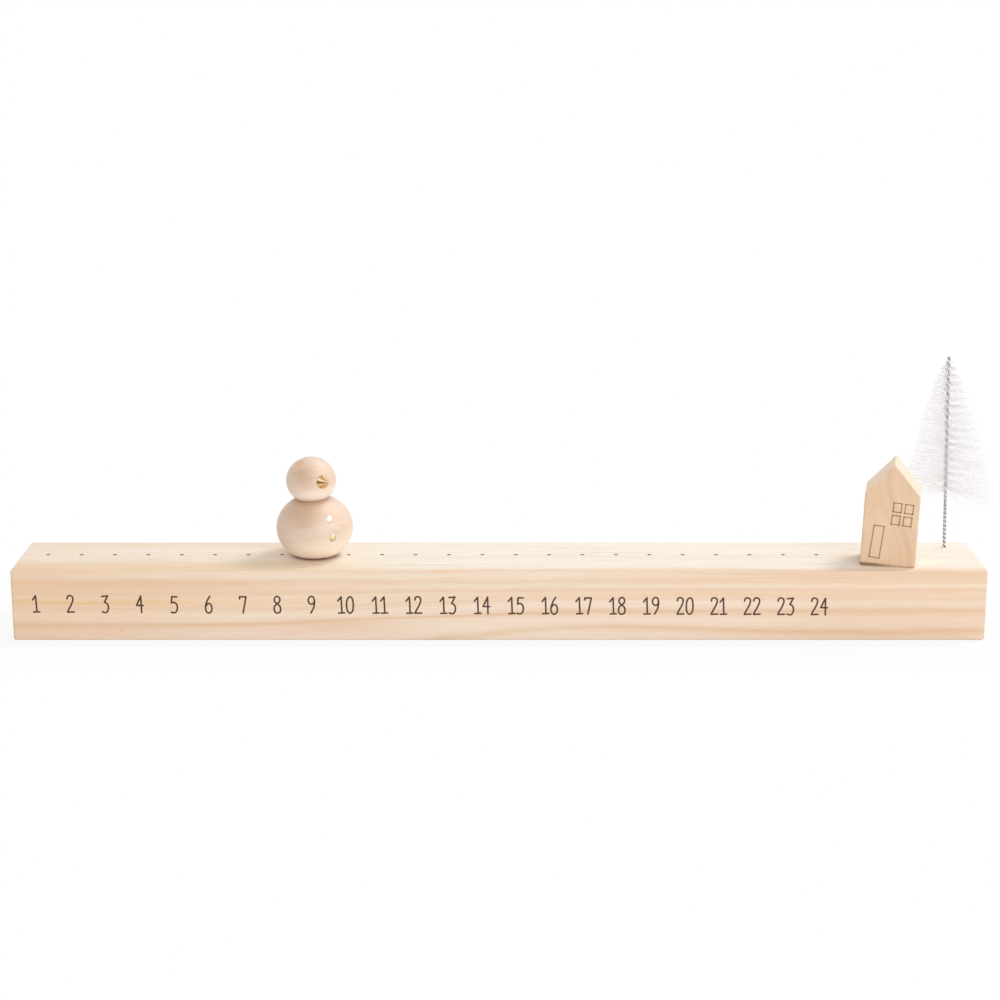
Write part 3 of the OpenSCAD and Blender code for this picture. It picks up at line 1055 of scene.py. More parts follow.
class Cutter(Recipe):
    """Cuts a block with a tool at every place of a grid. The tree's input mesh is the tool."""

    def __init__(self) -> None:
        """Builds the tree."""
        super().__init__("cut_in_rows")
        (block,) = self.ask("Object", "Block")
        columns, rows = self.ask("Int", "Columns", "Rows")
        first, along, up = self.ask("Vector", "First", "Along", "Up")
        row = self.made("GeometryNodeMeshLine", {"Count": columns, "Offset": along})
        column = self.made("GeometryNodeMeshLine", {"Count": rows, "Start Location": first, "Offset": up})
        grid = self.made("GeometryNodeInstanceOnPoints", {"Points": column, "Instance": row})
        places = self.made("GeometryNodeRealizeInstances", {"Geometry": grid})
        tool = self.entry.outputs["Geometry"]
        tools = self.made("GeometryNodeInstanceOnPoints", {"Points": places, "Instance": tool})
        cutters = self.made("GeometryNodeRealizeInstances", {"Geometry": tools})
        solid = self.made("GeometryNodeObjectInfo", {"Object": block}, "Geometry")
        values = {"Mesh 1": solid, "Mesh 2": cutters}
        self.close(self.made("GeometryNodeMeshBoolean", values, operation="DIFFERENCE", solver="EXACT"))

    def cut(self, block: Object, name: str, finish: Material, cuts: Iterable[Cut]) -> Object:
        """Makes one cut after another in a block.

        Args:
            block: The block, which is used up.
            name: The name of the cut piece.
            finish: Its finish.
            cuts: The cuts, whose tools are used up.

        Returns:
            The cut piece, shaded smooth.
        """
        for cut in cuts:
            self.run(cut.tool, {
                "Finish": finish, "Block": block, "Columns": cut.columns, "Rows": cut.rows,
                "First": metres(cut.first), "Along": metres(cut.along), "Up": metres(cut.up),
            })
            bpy.data.objects.remove(block)
            block = cut.tool
        block.name = block.data.name = name
        return smooth(block)


class LineWay(Enum):
    """How a swept line's section is held: flat on a face, or free in space."""

    FLAT = "Z_UP"
    FREE = "MINIMUM_TWIST"


class Sweeper(Recipe):
    """Sweeps an oval section along paths. The tree's input mesh is their edges."""

    def __init__(self, way: LineWay) -> None:
        """Builds the tree.

        Args:
            way: How the section is held.
        """
        super().__init__("sweep_" + way.name.lower())
        (sides,) = self.ask("Int", "Sides")
        width, thick = self.numbers("Float", "Width", "Thickness")
        path = self.made("GeometryNodeMeshToCurve", {"Mesh": self.entry.outputs["Geometry"]})
        held = self.made("GeometryNodeSetCurveNormal", {"Curve": path}, mode=way.value)
        ring = self.made("GeometryNodeCurvePrimitiveCircle", {"Resolution": sides, "Radius": 0.5})
        oval = self.made("GeometryNodeTransform", {"Geometry": ring, "Scale": self.vector(width, thick, 1.0)})
        swell = self.made("GeometryNodeInputNamedAttribute", {"Name": "swell"}, "Attribute")
        values = {"Curve": held, "Profile Curve": oval, "Scale": swell, "Fill Caps": True}
        self.stand(self.made("GeometryNodeCurveToMesh", values))

    def sweep(
        self, name: str, paths: Iterable[Sequence[tuple[Vector, float]]], values: Mapping[str, object]
    ) -> Object:
        """Sweeps the section along paths.

        Args:
            name: The piece's name.
            paths: Runs of points in millimetres, each with its swell.
            values: What the named inputs hold.

        Returns:
            The piece.
        """
        points, swells, edges = [], [], []
        for path in paths:
            start = len(points)
            points += [point * MM for point, _ in path]
            swells += [swell for _, swell in path]
            edges += [(k, k + 1) for k in range(start, len(points) - 1)]
        mesh = bpy.data.meshes.new(name)
        mesh.from_pydata(points, edges, [])
        mesh.attributes.new("swell", "FLOAT", "POINT").data.foreach_set("value", swells)
        return self.run(linked(bpy.data.objects.new(name, mesh)), values)


@dataclass
class Bar:
    """The pine bar with its drilled holes.

    A drill flares by the rim at the bar's top, and a collar above that keeps the cut clean. The
    collar's numbers are how much wider it is and how high it starts.
    """

    length: float = 400.0
    depth: float = -2 * BAR_FRONT
    height: float = BAR_TOP
    eased: float = 1.0
    hole_deep: float = 14.0
    rim: float = 0.13
    mouth_over: float = 0.02
    collar: Flat = (0.3, 0.4)
    collar_top: float = 1.5
    wire_hole: float = 1.6
    wire_deep: float = 12.5

    def block(self) -> Object:
        """Builds the sawn bar with its long edges and ends eased.

        Returns:
            The block, before drilling.
        """
        shape = bmesh.new()
        bmesh.ops.create_cube(shape, size=1.0)
        size = Matrix.Diagonal((self.length, self.depth, self.height, 1.0))
        bmesh.ops.transform(shape, matrix=size, verts=shape.verts)
        soften(shape, shape.edges[:], self.eased)
        return mesh_from("block", shape, moved(0, 0, self.height / 2))

    def drill(self, diameter: float, deep: float, lean: float = 0.0) -> Object:
        """Builds a drill bit that leaves a flared mouth and a pointed end.

        Args:
            diameter: The hole's diameter.
            deep: The hole's depth.
            lean: Its turn about Y, in degrees.

        Returns:
            The bit, point down, with its mouth at height zero.
        """
        r, flare = diameter / 2, diameter / 2 + self.rim
        wide, start = flare + self.collar[0], self.collar[1]
        profile = [(0, -deep - r * DRILL_POINT), (r, -deep), (r, -self.rim), (flare, self.mouth_over)]
        profile += [(wide, start), (wide, self.collar_top), (0, self.collar_top)]
        return mesh_from("drill", lathe(profile, DRILL_STEPS), turned(lean, "Y"))

    def build(self, cutter: Cutter) -> Object:
        """Builds the bar, drilled and dressed.

        Args:
            cutter: The cutter.

        Returns:
            The bar.
        """
        first = (FIRST_HOLE, HOLE_ROW, self.height)
        day_bit, house_bit = (self.drill(PIN_HOLE, self.hole_deep) for _ in range(2))
        wire_bit = self.drill(self.wire_hole, self.wire_deep, TREE_LEAN)
        cuts = (
            Cut(day_bit, first, columns=DAYS, along=(PITCH, 0, 0)),
            Cut(house_bit, HOUSE_FOOT),
            Cut(wire_bit, TREE_FOOT),
        )
        bar = cutter.cut(self.block(), "bar", BarPine().material(), cuts)
        return stand_for(bar, "bar", "base_bar", "pine")


# Each digit's width, and its strokes: points across and up from the middle of its foot, in
# millimetres. A smooth curve goes through a stroke's points, and a stroke of two is straight.
DIGITS = {
    "0": (3.1, "0.1,7 -1.1,5.9 -1.5,3.5 -1.1,0.9 0,0 1.15,0.9 1.5,3.5 1.1,6.1 0.1,7"),
    "1": (2.75, "-1.45,5.2 0,6.95 | 0,6.95 0.3,0.05 | -1.2,0 1.55,0.1"),
    "2": (3.1, "-1.45,5.7 -1.15,6.75 -0.1,7.1 0.95,6.5 1.1,5.2 0.3,3.2 -0.75,1.4 -1.4,0.1 "
               "| -1.4,0 1.5,0.12"),
    "3": (3.15, "-1.4,6.75 1.2,7 | 1.2,7 -0.25,4.3 "
                "| -0.25,4.3 0.8,3.75 1.45,2.2 0.95,0.4 -0.1,-0.15 -1.4,0.2"),
    "4": (3.05, "0.6,7 -1.4,3 | -1.4,3 1.5,2.95 | 0.6,7 0.75,-0.1"),
    "5": (3.0, "-0.95,6.8 1.3,6.7 | -0.95,6.8 -1.15,4.1 | -1.15,4.1 0.05,4.35 1.15,3.4 1.35,1.7 0.75,0.25 "
               "-0.4,-0.1 -1.4,0.15"),
    "6": (3.1, "0.65,7 -0.65,4.9 -1.4,2.4 -1.05,0.45 0.1,-0.2 1.15,0.5 1.45,2.1 0.85,3.6 -0.15,3.85 "
               "-1.3,2.7"),
    "7": (3.1, "-1.4,5.9 -1.45,6.8 | -1.45,6.8 1.45,6.8 | 1.45,6.8 0,-0.1"),
    "8": (3.15, "0,3.9 -1.1,4.8 -1.15,6.2 0,7.1 1.15,6.2 1,4.8 0,3.9 -1.15,2.9 -1.4,1.4 -0.9,0.2 0.1,-0.1 "
                "1.15,0.4 1.45,1.6 1.1,2.9 0,3.9"),
    "9": (3.1, "1.3,5.5 0.9,6.7 0,7.1 -1,6.6 -1.4,5.3 -0.9,4.1 0.1,3.75 1.1,4.4 1.3,5.5 1.3,4 0.8,2 -0.35,0"),
}


@dataclass
class DayNumbers:
    """The printed numbers 1 to 24, drawn as pen strokes."""

    first: float = -189.1
    pitch: float = 13.98
    bow: float = 0.0105
    bow_shift: float = 0.45
    narrow: float = 0.92
    high_left: float = 12.25
    high_right: float = 11.15
    stroke: float = 0.72
    ink: float = 0.05
    gap: float = 0.9
    round_ends: tuple[int, ...] = (22, 45, 65, 82)

    @staticmethod
    def through(points: Sequence[Vector], steps: int = 7) -> list[Vector]:
        """Draws a smooth curve through the points.

        Args:
            points: The points; two of them give a straight line.
            steps: How many short lines go from one point to the next.

        Returns:
            The points of the curve.
        """
        closed = len(points) > 3 and (points[0] - points[-1]).length < 1e-6
        before = points[-2] if closed else 2 * points[0] - points[1]
        after = points[1] if closed else 2 * points[-1] - points[-2]
        padded = [before, *points, after]
        drawn = []
        for a, b, c, d in zip(padded, padded[1:], padded[2:], padded[3:]):
            square, cube = 2 * a - 5 * b + 4 * c - d, 3 * b - a - 3 * c + d
            drawn += [0.5 * (2 * b + (c - a) * t + square * t**2 + cube * t**3) for t in shares(steps)[:-1]]
        return [*drawn, points[-1]]

    def penned(self, line: Sequence[Vector]) -> list[tuple[Vector, float]]:
        """Rounds the two ends of a stroke off, as a pen leaves them.

        Args:
            line: The stroke's middle line.

        Returns:
            The line with added points past its ends, each point with its swell.
        """
        turns = map(math.radians, self.round_ends)
        cap = [(math.sin(turn) * self.stroke / 2, math.cos(turn)) for turn in turns]
        head, tail = (line[0] - line[1]).normalized(), (line[-1] - line[-2]).normalized()
        start = [(line[0] + head * out, wide) for out, wide in reversed(cap)]
        end = [(line[-1] + tail * out, wide) for out, wide in cap]
        return [*start, *((point, 1.0) for point in line), *end]

    def strokes(self) -> list[list[tuple[Vector, float]]]:
        """Lays out every stroke of every number on the flat.

        Returns:
            The strokes, with X along the bar and Y up its front.
        """
        laid = []
        for day in range(1, DAYS + 1):
            digits = [DIGITS[digit] for digit in str(day)]
            wide = sum(width for width, _ in digits) * self.narrow + self.gap * (len(digits) - 1)
            creep = self.bow_shift - self.bow * (day - (DAYS + 1) / 2) ** 2
            x = self.first + self.pitch * (day - 1) + creep - wide / 2
            y = self.high_left + (self.high_right - self.high_left) * (day - 1) / (DAYS - 1)
            for width, strokes in digits:
                foot = Vector((x + width * self.narrow / 2, y, 0.0))
                for stroke in strokes.split("|"):
                    points = [tuple(map(float, point.split(","))) for point in stroke.split()]
                    placed = [foot + Vector((self.narrow * across, up, 0.0)) for across, up in points]
                    laid.append(self.penned(self.through(placed)))
                x += width * self.narrow + self.gap
        return laid

    def build(self, sweeper: Sweeper) -> Object:
        """Prints the numbers on the bar's front.

        Args:
            sweeper: The flat sweeper.

        Returns:
            All numbers as one thin piece.
        """
        piece = sweeper.sweep("day_numbers", self.strokes(), {
            "Finish": PrintedInk().material(), "Sides": 8,
            "Width": self.stroke * MM, "Thickness": self.ink * MM,
            "Turn": Euler((math.radians(90), 0, 0)), "Shift": metres((0, BAR_FRONT, 0)),
        })
        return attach(piece, "bar")


@dataclass
class Figure:
    """The turned figure: two balls, a cone nose and two tacks.

    A bore is a diameter and a depth, and an edge is how far an underside lies in from the rim
    and below it. A tack's place is its height from the lower ball's middle, and its turn to the
    figure's right.
    """

    facing: float = 34.0
    lean: float = 3.5
    body_wide: float = 31.8
    body_high: float = 28.1
    foot_cut: float = 1.95
    head_wide: float = 20.7
    head_high: float = 19.5
    neck_wide: float = 13.2
    eased: float = 0.3
    pin_bore: Flat = (PIN_HOLE, 10.5)
    dowel_bore: Flat = (4.04, 6.5)
    ball_steps: int = 128
    arc_steps: int = 88
    shank_long: float = 4.5
    nose_shank: float = 1.6
    nose_wide: float = 5.6
    nose_long: float = 5.0
    nose_tip: float = 0.3
    nose_rim: float = 0.12
    nose_edge: Flat = (0.2, 0.3)
    nose_up: float = 7.0
    tack_shank: float = 1.0
    tack_wide: float = 3.2
    tack_high: float = 0.9
    tack_edge: Flat = (0.12, 0.15)
    upper_tack: Flat = (6.6, 3.8)
    lower_tack: Flat = (-1.3, 1.5)

    def neck_height(self, wide: float, high: float) -> float:
        """Gives the height from a ball's middle at which it is as wide as the neck."""
        return high / 2 * math.sqrt(1 - (self.neck_wide / wide) ** 2)

    def body_middle(self) -> Matrix:
        """Gives the place of the lower ball's middle, turned to where the figure looks."""
        up = self.body_high / 2 - self.foot_cut
        return moved(*FIGURE_FOOT) @ turned(self.facing, "Z") @ moved(0, 0, up)

    def neck(self) -> Matrix:
        """Gives the place where the balls meet, leaning with the head."""
        up = self.neck_height(self.body_wide, self.body_high)
        return self.body_middle() @ turned(-self.lean, "Y") @ moved(0, 0, up)

    def head_middle(self) -> Matrix:
        """Gives the place of the upper ball's middle."""
        return self.neck() @ moved(0, 0, self.neck_height(self.head_wide, self.head_high))

    def ball(self, wide: float, high: float, low: float, bore: Flat) -> bmesh.types.BMesh:
        """Turns a slightly flattened ball with a flat foot and a bore in it.

        Args:
            wide: Its width.
            high: Its height before its foot is cut.
            low: The foot's height from the middle.
            bore: The bore's diameter and depth.

        Returns:
            The ball, its middle at the origin.
        """
        r, end = bore[0] / 2, low + bore[1]
        bored = [(0.0, end), (r, end), (r, low)]
        start = math.asin(2 * low / high)
        arc = [start + (math.pi / 2 - start) * t for t in shares(self.arc_steps)[:-1]]
        outline = [(wide / 2 * math.cos(a), high / 2 * math.sin(a)) for a in arc]
        profile = rounded([*bored, *outline, (0.0, high / 2)], len(bored), self.eased)
        return lathe(profile, self.ball_steps)

    def driven(self, shank: float, rim: float, edge: Flat) -> list[Flat]:
        """Gives the profile of a driven shank and of the underside that it holds.

        Args:
            shank: The shank's diameter.
            rim: The radius of the underside's rim.
            edge: How far the underside lies in from the rim and below it.

        Returns:
            The points from the shank's end outward.
        """
        r, inward, under = shank / 2, *edge
        return [(0.0, -self.shank_long), (r, -self.shank_long), (r, -under), (rim - inward, -under)]

    def body(self) -> Object:
        """Builds the lower ball with its leaning flat for the head.

        Returns:
            The lower ball.
        """
        middle = self.body_middle()
        low = self.foot_cut - self.body_high / 2
        shape = self.ball(self.body_wide, self.body_high, low, self.pin_bore)
        flat = middle.inverted() @ self.neck()
        cut = bmesh.ops.bisect_plane(
            shape, geom=[*shape.verts, *shape.edges, *shape.faces], clear_outer=True,
            plane_co=flat.translation, plane_no=flat.to_3x3() @ Vector((0, 0, 1)),
        )
        rim = [edge for edge in cut["geom_cut"] if isinstance(edge, bmesh.types.BMEdge)]
        bmesh.ops.edgeloop_fill(shape, edges=rim)
        soften(shape, rim, self.eased, steps=4)
        finish = TurnedBeech(
            name="body_beech",
            origin=tuple(middle.translation),
            turn=(0, -self.lean, self.facing),
            slant=(-0.08, 0.05),
            layer=2.6,
            # Painted on this ball: shade in the neck's crease, bounce light on its lower part, and a contact
            # shadow at the bar.
            seam=(self.neck_height(self.body_wide, self.body_high), 0.36),
            tan=((-11.0, -8.5, 10.5), 16.0),
            pale_below=(1.0, -7.0),
            foot=0.88,
            pores=((3.93, -15.03, 2.94), (5.83, -14.49, 2.55)),
        )
        return wear(smooth(mesh_from("lower_ball", shape, middle)), finish.material())

    def head(self) -> Object:
        """Builds the upper ball.

        Returns:
            The upper ball.
        """
        middle = self.head_middle()
        low = -self.neck_height(self.head_wide, self.head_high)
        shape = self.ball(self.head_wide, self.head_high, low, self.dowel_bore)
        finish = TurnedBeech(
            name="head_beech",
            origin=tuple(middle.translation),
            turn=(0, -self.lean, self.facing),
            slant=(-0.14, 0.08),
            layer=3.0,
            # Painted on this ball: shade in the neck's crease and bounce light on its lower part.
            seam=(low, 0.34),
            tan=((-6.8, -6.4, 4.4), 9.0),
            pale_below=(0.5, -4.5),
            knot=(-5.0, -0.82, 8.5),
        )
        return wear(smooth(mesh_from("upper_ball", shape, middle)), finish.material())

    def nose(self) -> Object:
        """Builds the cone nose with a soft rim and a blunt tip.

        Returns:
            The nose in its own brass.
        """
        up, r, tip = math.radians(self.nose_up), self.nose_wide / 2, self.nose_tip
        out = 1 / math.hypot(2 * math.cos(up) / self.head_wide, 2 * math.sin(up) / self.head_high)
        seat = math.sqrt(out**2 - r**2)
        place = self.head_middle() @ turned(90 - self.nose_up, "X") @ moved(0, 0, seat)
        rim, blunt = self.nose_rim, self.nose_long - tip
        profile = self.driven(self.nose_shank, r, self.nose_edge)
        profile += [(r + (tip - r) * t, rim + (blunt - rim) * t) for t in shares(10)]
        profile += [(tip * math.cos(a), blunt + tip * math.sin(a)) for a in map(math.radians, (30, 55, 75))]
        shape = lathe([*profile, (0.0, self.nose_long)], steps=64)
        turn = (90 - self.nose_up, -self.lean, self.facing)
        finish = TurnedCone(tuple(place.translation), turn).material()
        return wear(smooth(mesh_from("nose", shape, place), sharp=50.0, weighted=False), finish)

    def tack(self, name: str, at: Flat, finish: Material) -> Object:
        """Builds a domed tack, square to the lower ball's surface.

        Args:
            name: The piece's name.
            at: The tack's place on the ball.
            finish: Its brass.

        Returns:
            The tack.
        """
        height, turn = at
        wide, high, r, rise = self.body_wide, self.body_high, self.tack_wide / 2, self.tack_high
        out = wide / 2 * math.sqrt(1 - (2 * height / high) ** 2)
        up = math.degrees(math.atan2(height / high**2, out / wide**2))
        sunk = high / 2 - math.sqrt((high / 2) ** 2 - r**2)
        outward = turned(90 - up, "X") @ moved(0, 0, -sunk)
        place = self.body_middle() @ turned(-turn, "Z") @ moved(0, -out, height) @ outward
        dome = (r**2 + rise**2) / (2 * rise)
        arc = [math.asin(r / dome) * (1 - t) for t in shares(14)[:-1]]
        profile = self.driven(self.tack_shank, r, self.tack_edge)
        profile += [(dome * math.sin(a), rise - dome + dome * math.cos(a)) for a in arc]
        shape = lathe([*profile, (0.0, rise)], steps=48)
        return wear(smooth(mesh_from(name, shape, place), sharp=60.0, weighted=False), finish)

    def build(self) -> list[Object]:
        """Builds the figure's pieces.

        Returns:
            The pieces, each riding on the figure.
        """
        middle = tuple(self.head_middle().translation)
        brass = Metal("turned_brass", MetalTone.BRASS, middle).material()
        # The upper tack wears the brass with its highlight painted in.
        pale = Metal("rubbed_brass", MetalTone.PALE_BRASS, middle).material()
        made = (
            (self.body(), "snowman_body", "beech"),
            (self.head(), "snowman_head", "beech"),
            (self.nose(), "nose_cone", "brass"),
            (self.tack("upper_tack", self.upper_tack, pale), "upper_button", "brass"),
            (self.tack("lower_tack", self.lower_tack, brass), "lower_button", "brass"),
        )
        return [stand_for(piece, "figure", node, slot) for piece, node, slot in made]


@dataclass
class House:
    """The small block house with its engraved door and window.

    The mouth of the pin's hole is so much wider at the foot, and so high. The cutters stand out
    of the wood by tool_out.
    """

    turn: float = -11.6
    wide: float = 22.4
    deep: float = 18.0
    eaves: float = 30.8
    ridge: float = 43.4
    lean: float = 2.0
    eased: float = 0.7
    line: float = 0.35
    line_deep: float = 0.3
    door: Outline = Outline((-4.704, 10.472), turn=7.0, width=4.1, height=13.6)
    window: Outline = Outline((5.264, 22.33), turn=5.5, width=3.25, height=3.8, apart=(4.75, 5.3))
    pin_grip: float = 10.5
    mouth: Flat = (0.1, 0.15)
    tool_out: float = 1.0

    def stand(self) -> Matrix:
        """Gives the place of the foot's middle, turned as the house stands."""
        return moved(*HOUSE_FOOT) @ turned(self.turn, "Z")

    def front(self) -> list[Flat]:
        """Gives the front's five corners, leaned about the foot.

        Returns:
            Points across and up.
        """
        cosine, sine = math.cos(math.radians(self.lean)), math.sin(math.radians(self.lean))
        half = self.wide / 2
        upper = [(half, self.eaves), (0.0, self.ridge), (-half, self.eaves)]
        leaned = [(x * cosine + z * sine, z * cosine - x * sine) for x, z in upper]
        return [(-half / cosine, 0.0), (half / cosine, 0.0), *leaned]

    def block(self) -> Object:
        """Builds the sawn block with softly sanded edges.

        Returns:
            The block, before engraving.
        """
        shape = bmesh.new()
        near, far = (
            [shape.verts.new((x, y, z)) for x, z in self.front()] for y in (-self.deep / 2, self.deep / 2)
        )
        shape.faces.new(near)
        shape.faces.new(reversed(far))
        join_rings(shape, [far, near])
        soften(shape, shape.edges[:], self.eased)
        return mesh_from("house_block_sawn", shape, self.stand())

    def bore(self) -> Object:
        """Builds the tool of the pin's hole, with a flared mouth and a pointed end.

        Returns:
            The tool, point up, with its mouth at height zero.
        """
        r, out = PIN_HOLE / 2, -self.tool_out
        flare, start = r + self.mouth[0], self.mouth[1]
        profile = [(0, out), (flare, out), (flare, 0), (r, start), (r, self.pin_grip)]
        return mesh_from("bore", lathe([*profile, (0, self.pin_grip + r * DRILL_POINT)], DRILL_STEPS))

    def frame_tool(self, name: str, outline: Outline) -> Object:
        """Builds the cutter of one engraved rectangle.

        Args:
            name: The cutter's name.
            outline: The rectangle.

        Returns:
            The cutter, its middle on the front at the origin, turned as the house stands.
        """
        shape = bmesh.new()
        rings = []
        near, far = -self.tool_out, self.line_deep
        for grow, y in ((-1, far), (1, far), (1, near), (-1, near)):
            w, h = (outline.width + grow * self.line) / 2, (outline.height + grow * self.line) / 2
            rings.append([shape.verts.new((x, y, z)) for x, z in ((w, h), (-w, h), (-w, -h), (w, -h))])
        join_rings(shape, [*rings, rings[0]])
        return mesh_from(name, shape, turned(self.turn, "Z") @ turned(outline.turn, "Y"))

    def on_front(self, x: float, z: float) -> Vector:
        """Turns a place on the front into a point of the part's frame."""
        return self.stand() @ Vector((x, -self.deep / 2, z))

    def build(self, cutter: Cutter) -> Object:
        """Builds the house, engraved and dressed.

        Args:
            cutter: The cutter.

        Returns:
            The house.
        """
        *_, right_eave, ridge, left_eave = self.front()
        slopes = ((left_eave, ridge), (ridge, right_eave))
        pine = HousePine(self.turn, -self.deep / 2, slopes, (self.door, self.window)).material()
        tilt = turned(self.window.turn, "Y").to_3x3()
        step_along, step_up = self.window.apart
        along, up = tilt @ Vector((step_along, 0, 0)), tilt @ Vector((0, 0, step_up))
        corner = Vector((self.window.middle[0], 0, self.window.middle[1])) - along / 2 - up / 2
        stood = turned(self.turn, "Z").to_3x3()
        door, pane = self.frame_tool("door_line", self.door), self.frame_tool("pane_line", self.window)
        first = self.on_front(corner.x, corner.z)
        cuts = (
            Cut(self.bore(), HOUSE_FOOT),
            Cut(door, self.on_front(*self.door.middle)),
            Cut(pane, first, columns=2, along=stood @ along, rows=2, up=stood @ up),
        )
        return stand_for(cutter.cut(self.block(), "house", pine, cuts), "house", "house_block", "house_wood")


@dataclass
class Tree:
    """The bottle-brush tree: a folded, twisted wire that holds nylon bristles.

    No bristle is shorter than the stub, and chance sets each apart. It stands astray of its row
    by a turn, is shorter by two ragged shares, and tilts by chance and towards the tree's tip.
    Its fan is a turn that grows between two distances from the wire, where it comes free. Its
    end bends up or down and swings aside by so much, and ripples run along it. Bristles on the
    right stretch by a share and drop more.
    """

    sunk: float = 12.0
    wire: float = 0.65
    gap: float = 0.2
    stem_pitch: float = 3.6
    brush_pitch: float = 6.4
    brush_from: float = 24.2
    brush_high: float = 56.0
    tip: float = 1.2
    reach: float = 17.7
    fullness: float = 0.75
    drop: float = 3.0
    bristle: float = 0.08
    root_share: float = 0.55
    thickening: float = 2.7
    thinning: float = 0.35
    bristles: int = 4200
    seed: int = 24
    stub: float = 1.1
    astray: float = 0.3
    ragged: Flat = (0.16, 0.04)
    tilt: Flat = (0.08, 0.12)
    fan: float = 1.7
    free: Flat = (0.6, 3.6)
    bend: float = 1.2
    swing: float = 1.6
    ripple: float = 0.16
    ripples: float = 7.0
    stretch: float = 0.13
    drop_even: float = 0.6
    drop_right: float = 1.2
    rings_a_turn: int = 18

    def twist(self, height: float) -> float:
        """Gives how far the wire has turned at a height above the bar.

        Args:
            height: The height along the wire.

        Returns:
            The turn in radians, clockwise from above.
        """
        stem = (min(height, self.brush_from) + self.sunk) / self.stem_pitch
        brush = max(0.0, height - self.brush_from) / self.brush_pitch
        return -2 * math.pi * (stem + brush)

    def wire_path(self) -> list[tuple[Vector, float]]:
        """Follows the wire up one leg, round the fold and down the other leg.

        Returns:
            The points of the wire's middle line, each with its swell.
        """
        top = self.brush_from + self.brush_high + self.tip
        leg = (self.wire + self.gap) / 2
        heights = [-self.sunk]
        for _ in range(math.ceil(abs(self.twist(top)) / (2 * math.pi) * self.rings_a_turn) - 1):
            pitch = self.stem_pitch if heights[-1] < self.brush_from else self.brush_pitch
            heights.append(min(top, heights[-1] + pitch / self.rings_a_turn))
        heights.append(top)

        def around(out: float, turn: float, height: float) -> Vector:
            """Gives a point by its distance and turn about the tree's middle."""
            return Vector((out * math.cos(turn), out * math.sin(turn), height))

        up, down = ([around(leg, self.twist(h) + math.pi * side, h) for h in heights] for side in (0, 1))
        bend = [math.pi * t for t in shares(10)[1:-1]]
        fold = [around(leg * math.cos(a), self.twist(top), top + leg * math.sin(a)) for a in bend]
        return [(point, 1.0) for point in (*up, *fold, *reversed(down))]

    @staticmethod
    def placed() -> dict[str, object]:
        """Gives the inputs that set what is built upright on the tree's place, leaning with it."""
        return {"Turn": Euler((0, math.radians(TREE_LEAN), 0)), "Shift": metres(TREE_FOOT)}

    def build_wire(self, sweeper: Sweeper) -> Object:
        """Builds the wire.

        Args:
            sweeper: The free sweeper.

        Returns:
            The wire.
        """
        lean = (0, TREE_LEAN, 0)
        # The wire's legs are painted darker where they face each other: painted shade in the groove between
        # them.
        steel = Metal("galvanised_wire", MetalTone.WIRE_STEEL, TREE_FOOT, lean, pits=(0.62, 0.42))
        thick = self.wire * MM
        piece = sweeper.sweep("twisted_wire", [self.wire_path()], {
            "Finish": steel.material(), "Sides": 12, "Width": thick, "Thickness": thick, **self.placed(),
        })
        return stand_for(piece, "tree", "tree_wire", "wire_steel")

    def one_bristle(self, parts: int = 6) -> Object:
        """Builds a bristle one long and two thick, along X, thin where it is held and at its end.

        Args:
            parts: How many lengths it is made of, so that it can bend.

        Returns:
            The bristle.
        """
        shape = bmesh.new()
        rings = []
        for t in shares(parts):
            thin = min(1.0, self.root_share + self.thickening * t) - self.thinning * t**3
            corners = [math.radians(90 + 120 * side) for side in range(3)]
            rings.append([shape.verts.new((t, thin * math.cos(a), thin * math.sin(a))) for a in corners])
        join_rings(shape, rings)
        shape.faces.new(rings[0])
        shape.faces.new(reversed(rings[-1]))
        return mesh_from("bristles", shape, Matrix.Scale(1 / MM, 4))

    def brush_recipe(self) -> Recipe:
        """Builds the tree that sets bristles round the wire and lets them droop.

        Returns:
            The recipe. Its input mesh is one bristle.
        """
        recipe = Recipe("bottle_brush")
        count, seed = recipe.numbers("Int", "Bristles", "Seed")
        low, high, reach, fullness = recipe.numbers("Float", "From", "High", "Reach", "Fullness")
        thick, drop, pitch, start = recipe.numbers("Float", "Thickness", "Drop", "Pitch", "Start turn")

        def chance(number: int, least: float = 0.0, most: float = 1.0) -> Value:
            """Draws one number for each bristle."""
            values = {"Min_001": least, "Max_001": most, "Seed": seed + float(number)}
            return recipe.value("FunctionNodeRandomValue", values, "Value_001", data_type="FLOAT")

        def around(number: int) -> Value:
            """Draws one number about zero for each bristle, most often near it, by two draws."""
            return chance(number, -0.5, 0.5) + chance(number + 1, -0.5, 0.5)

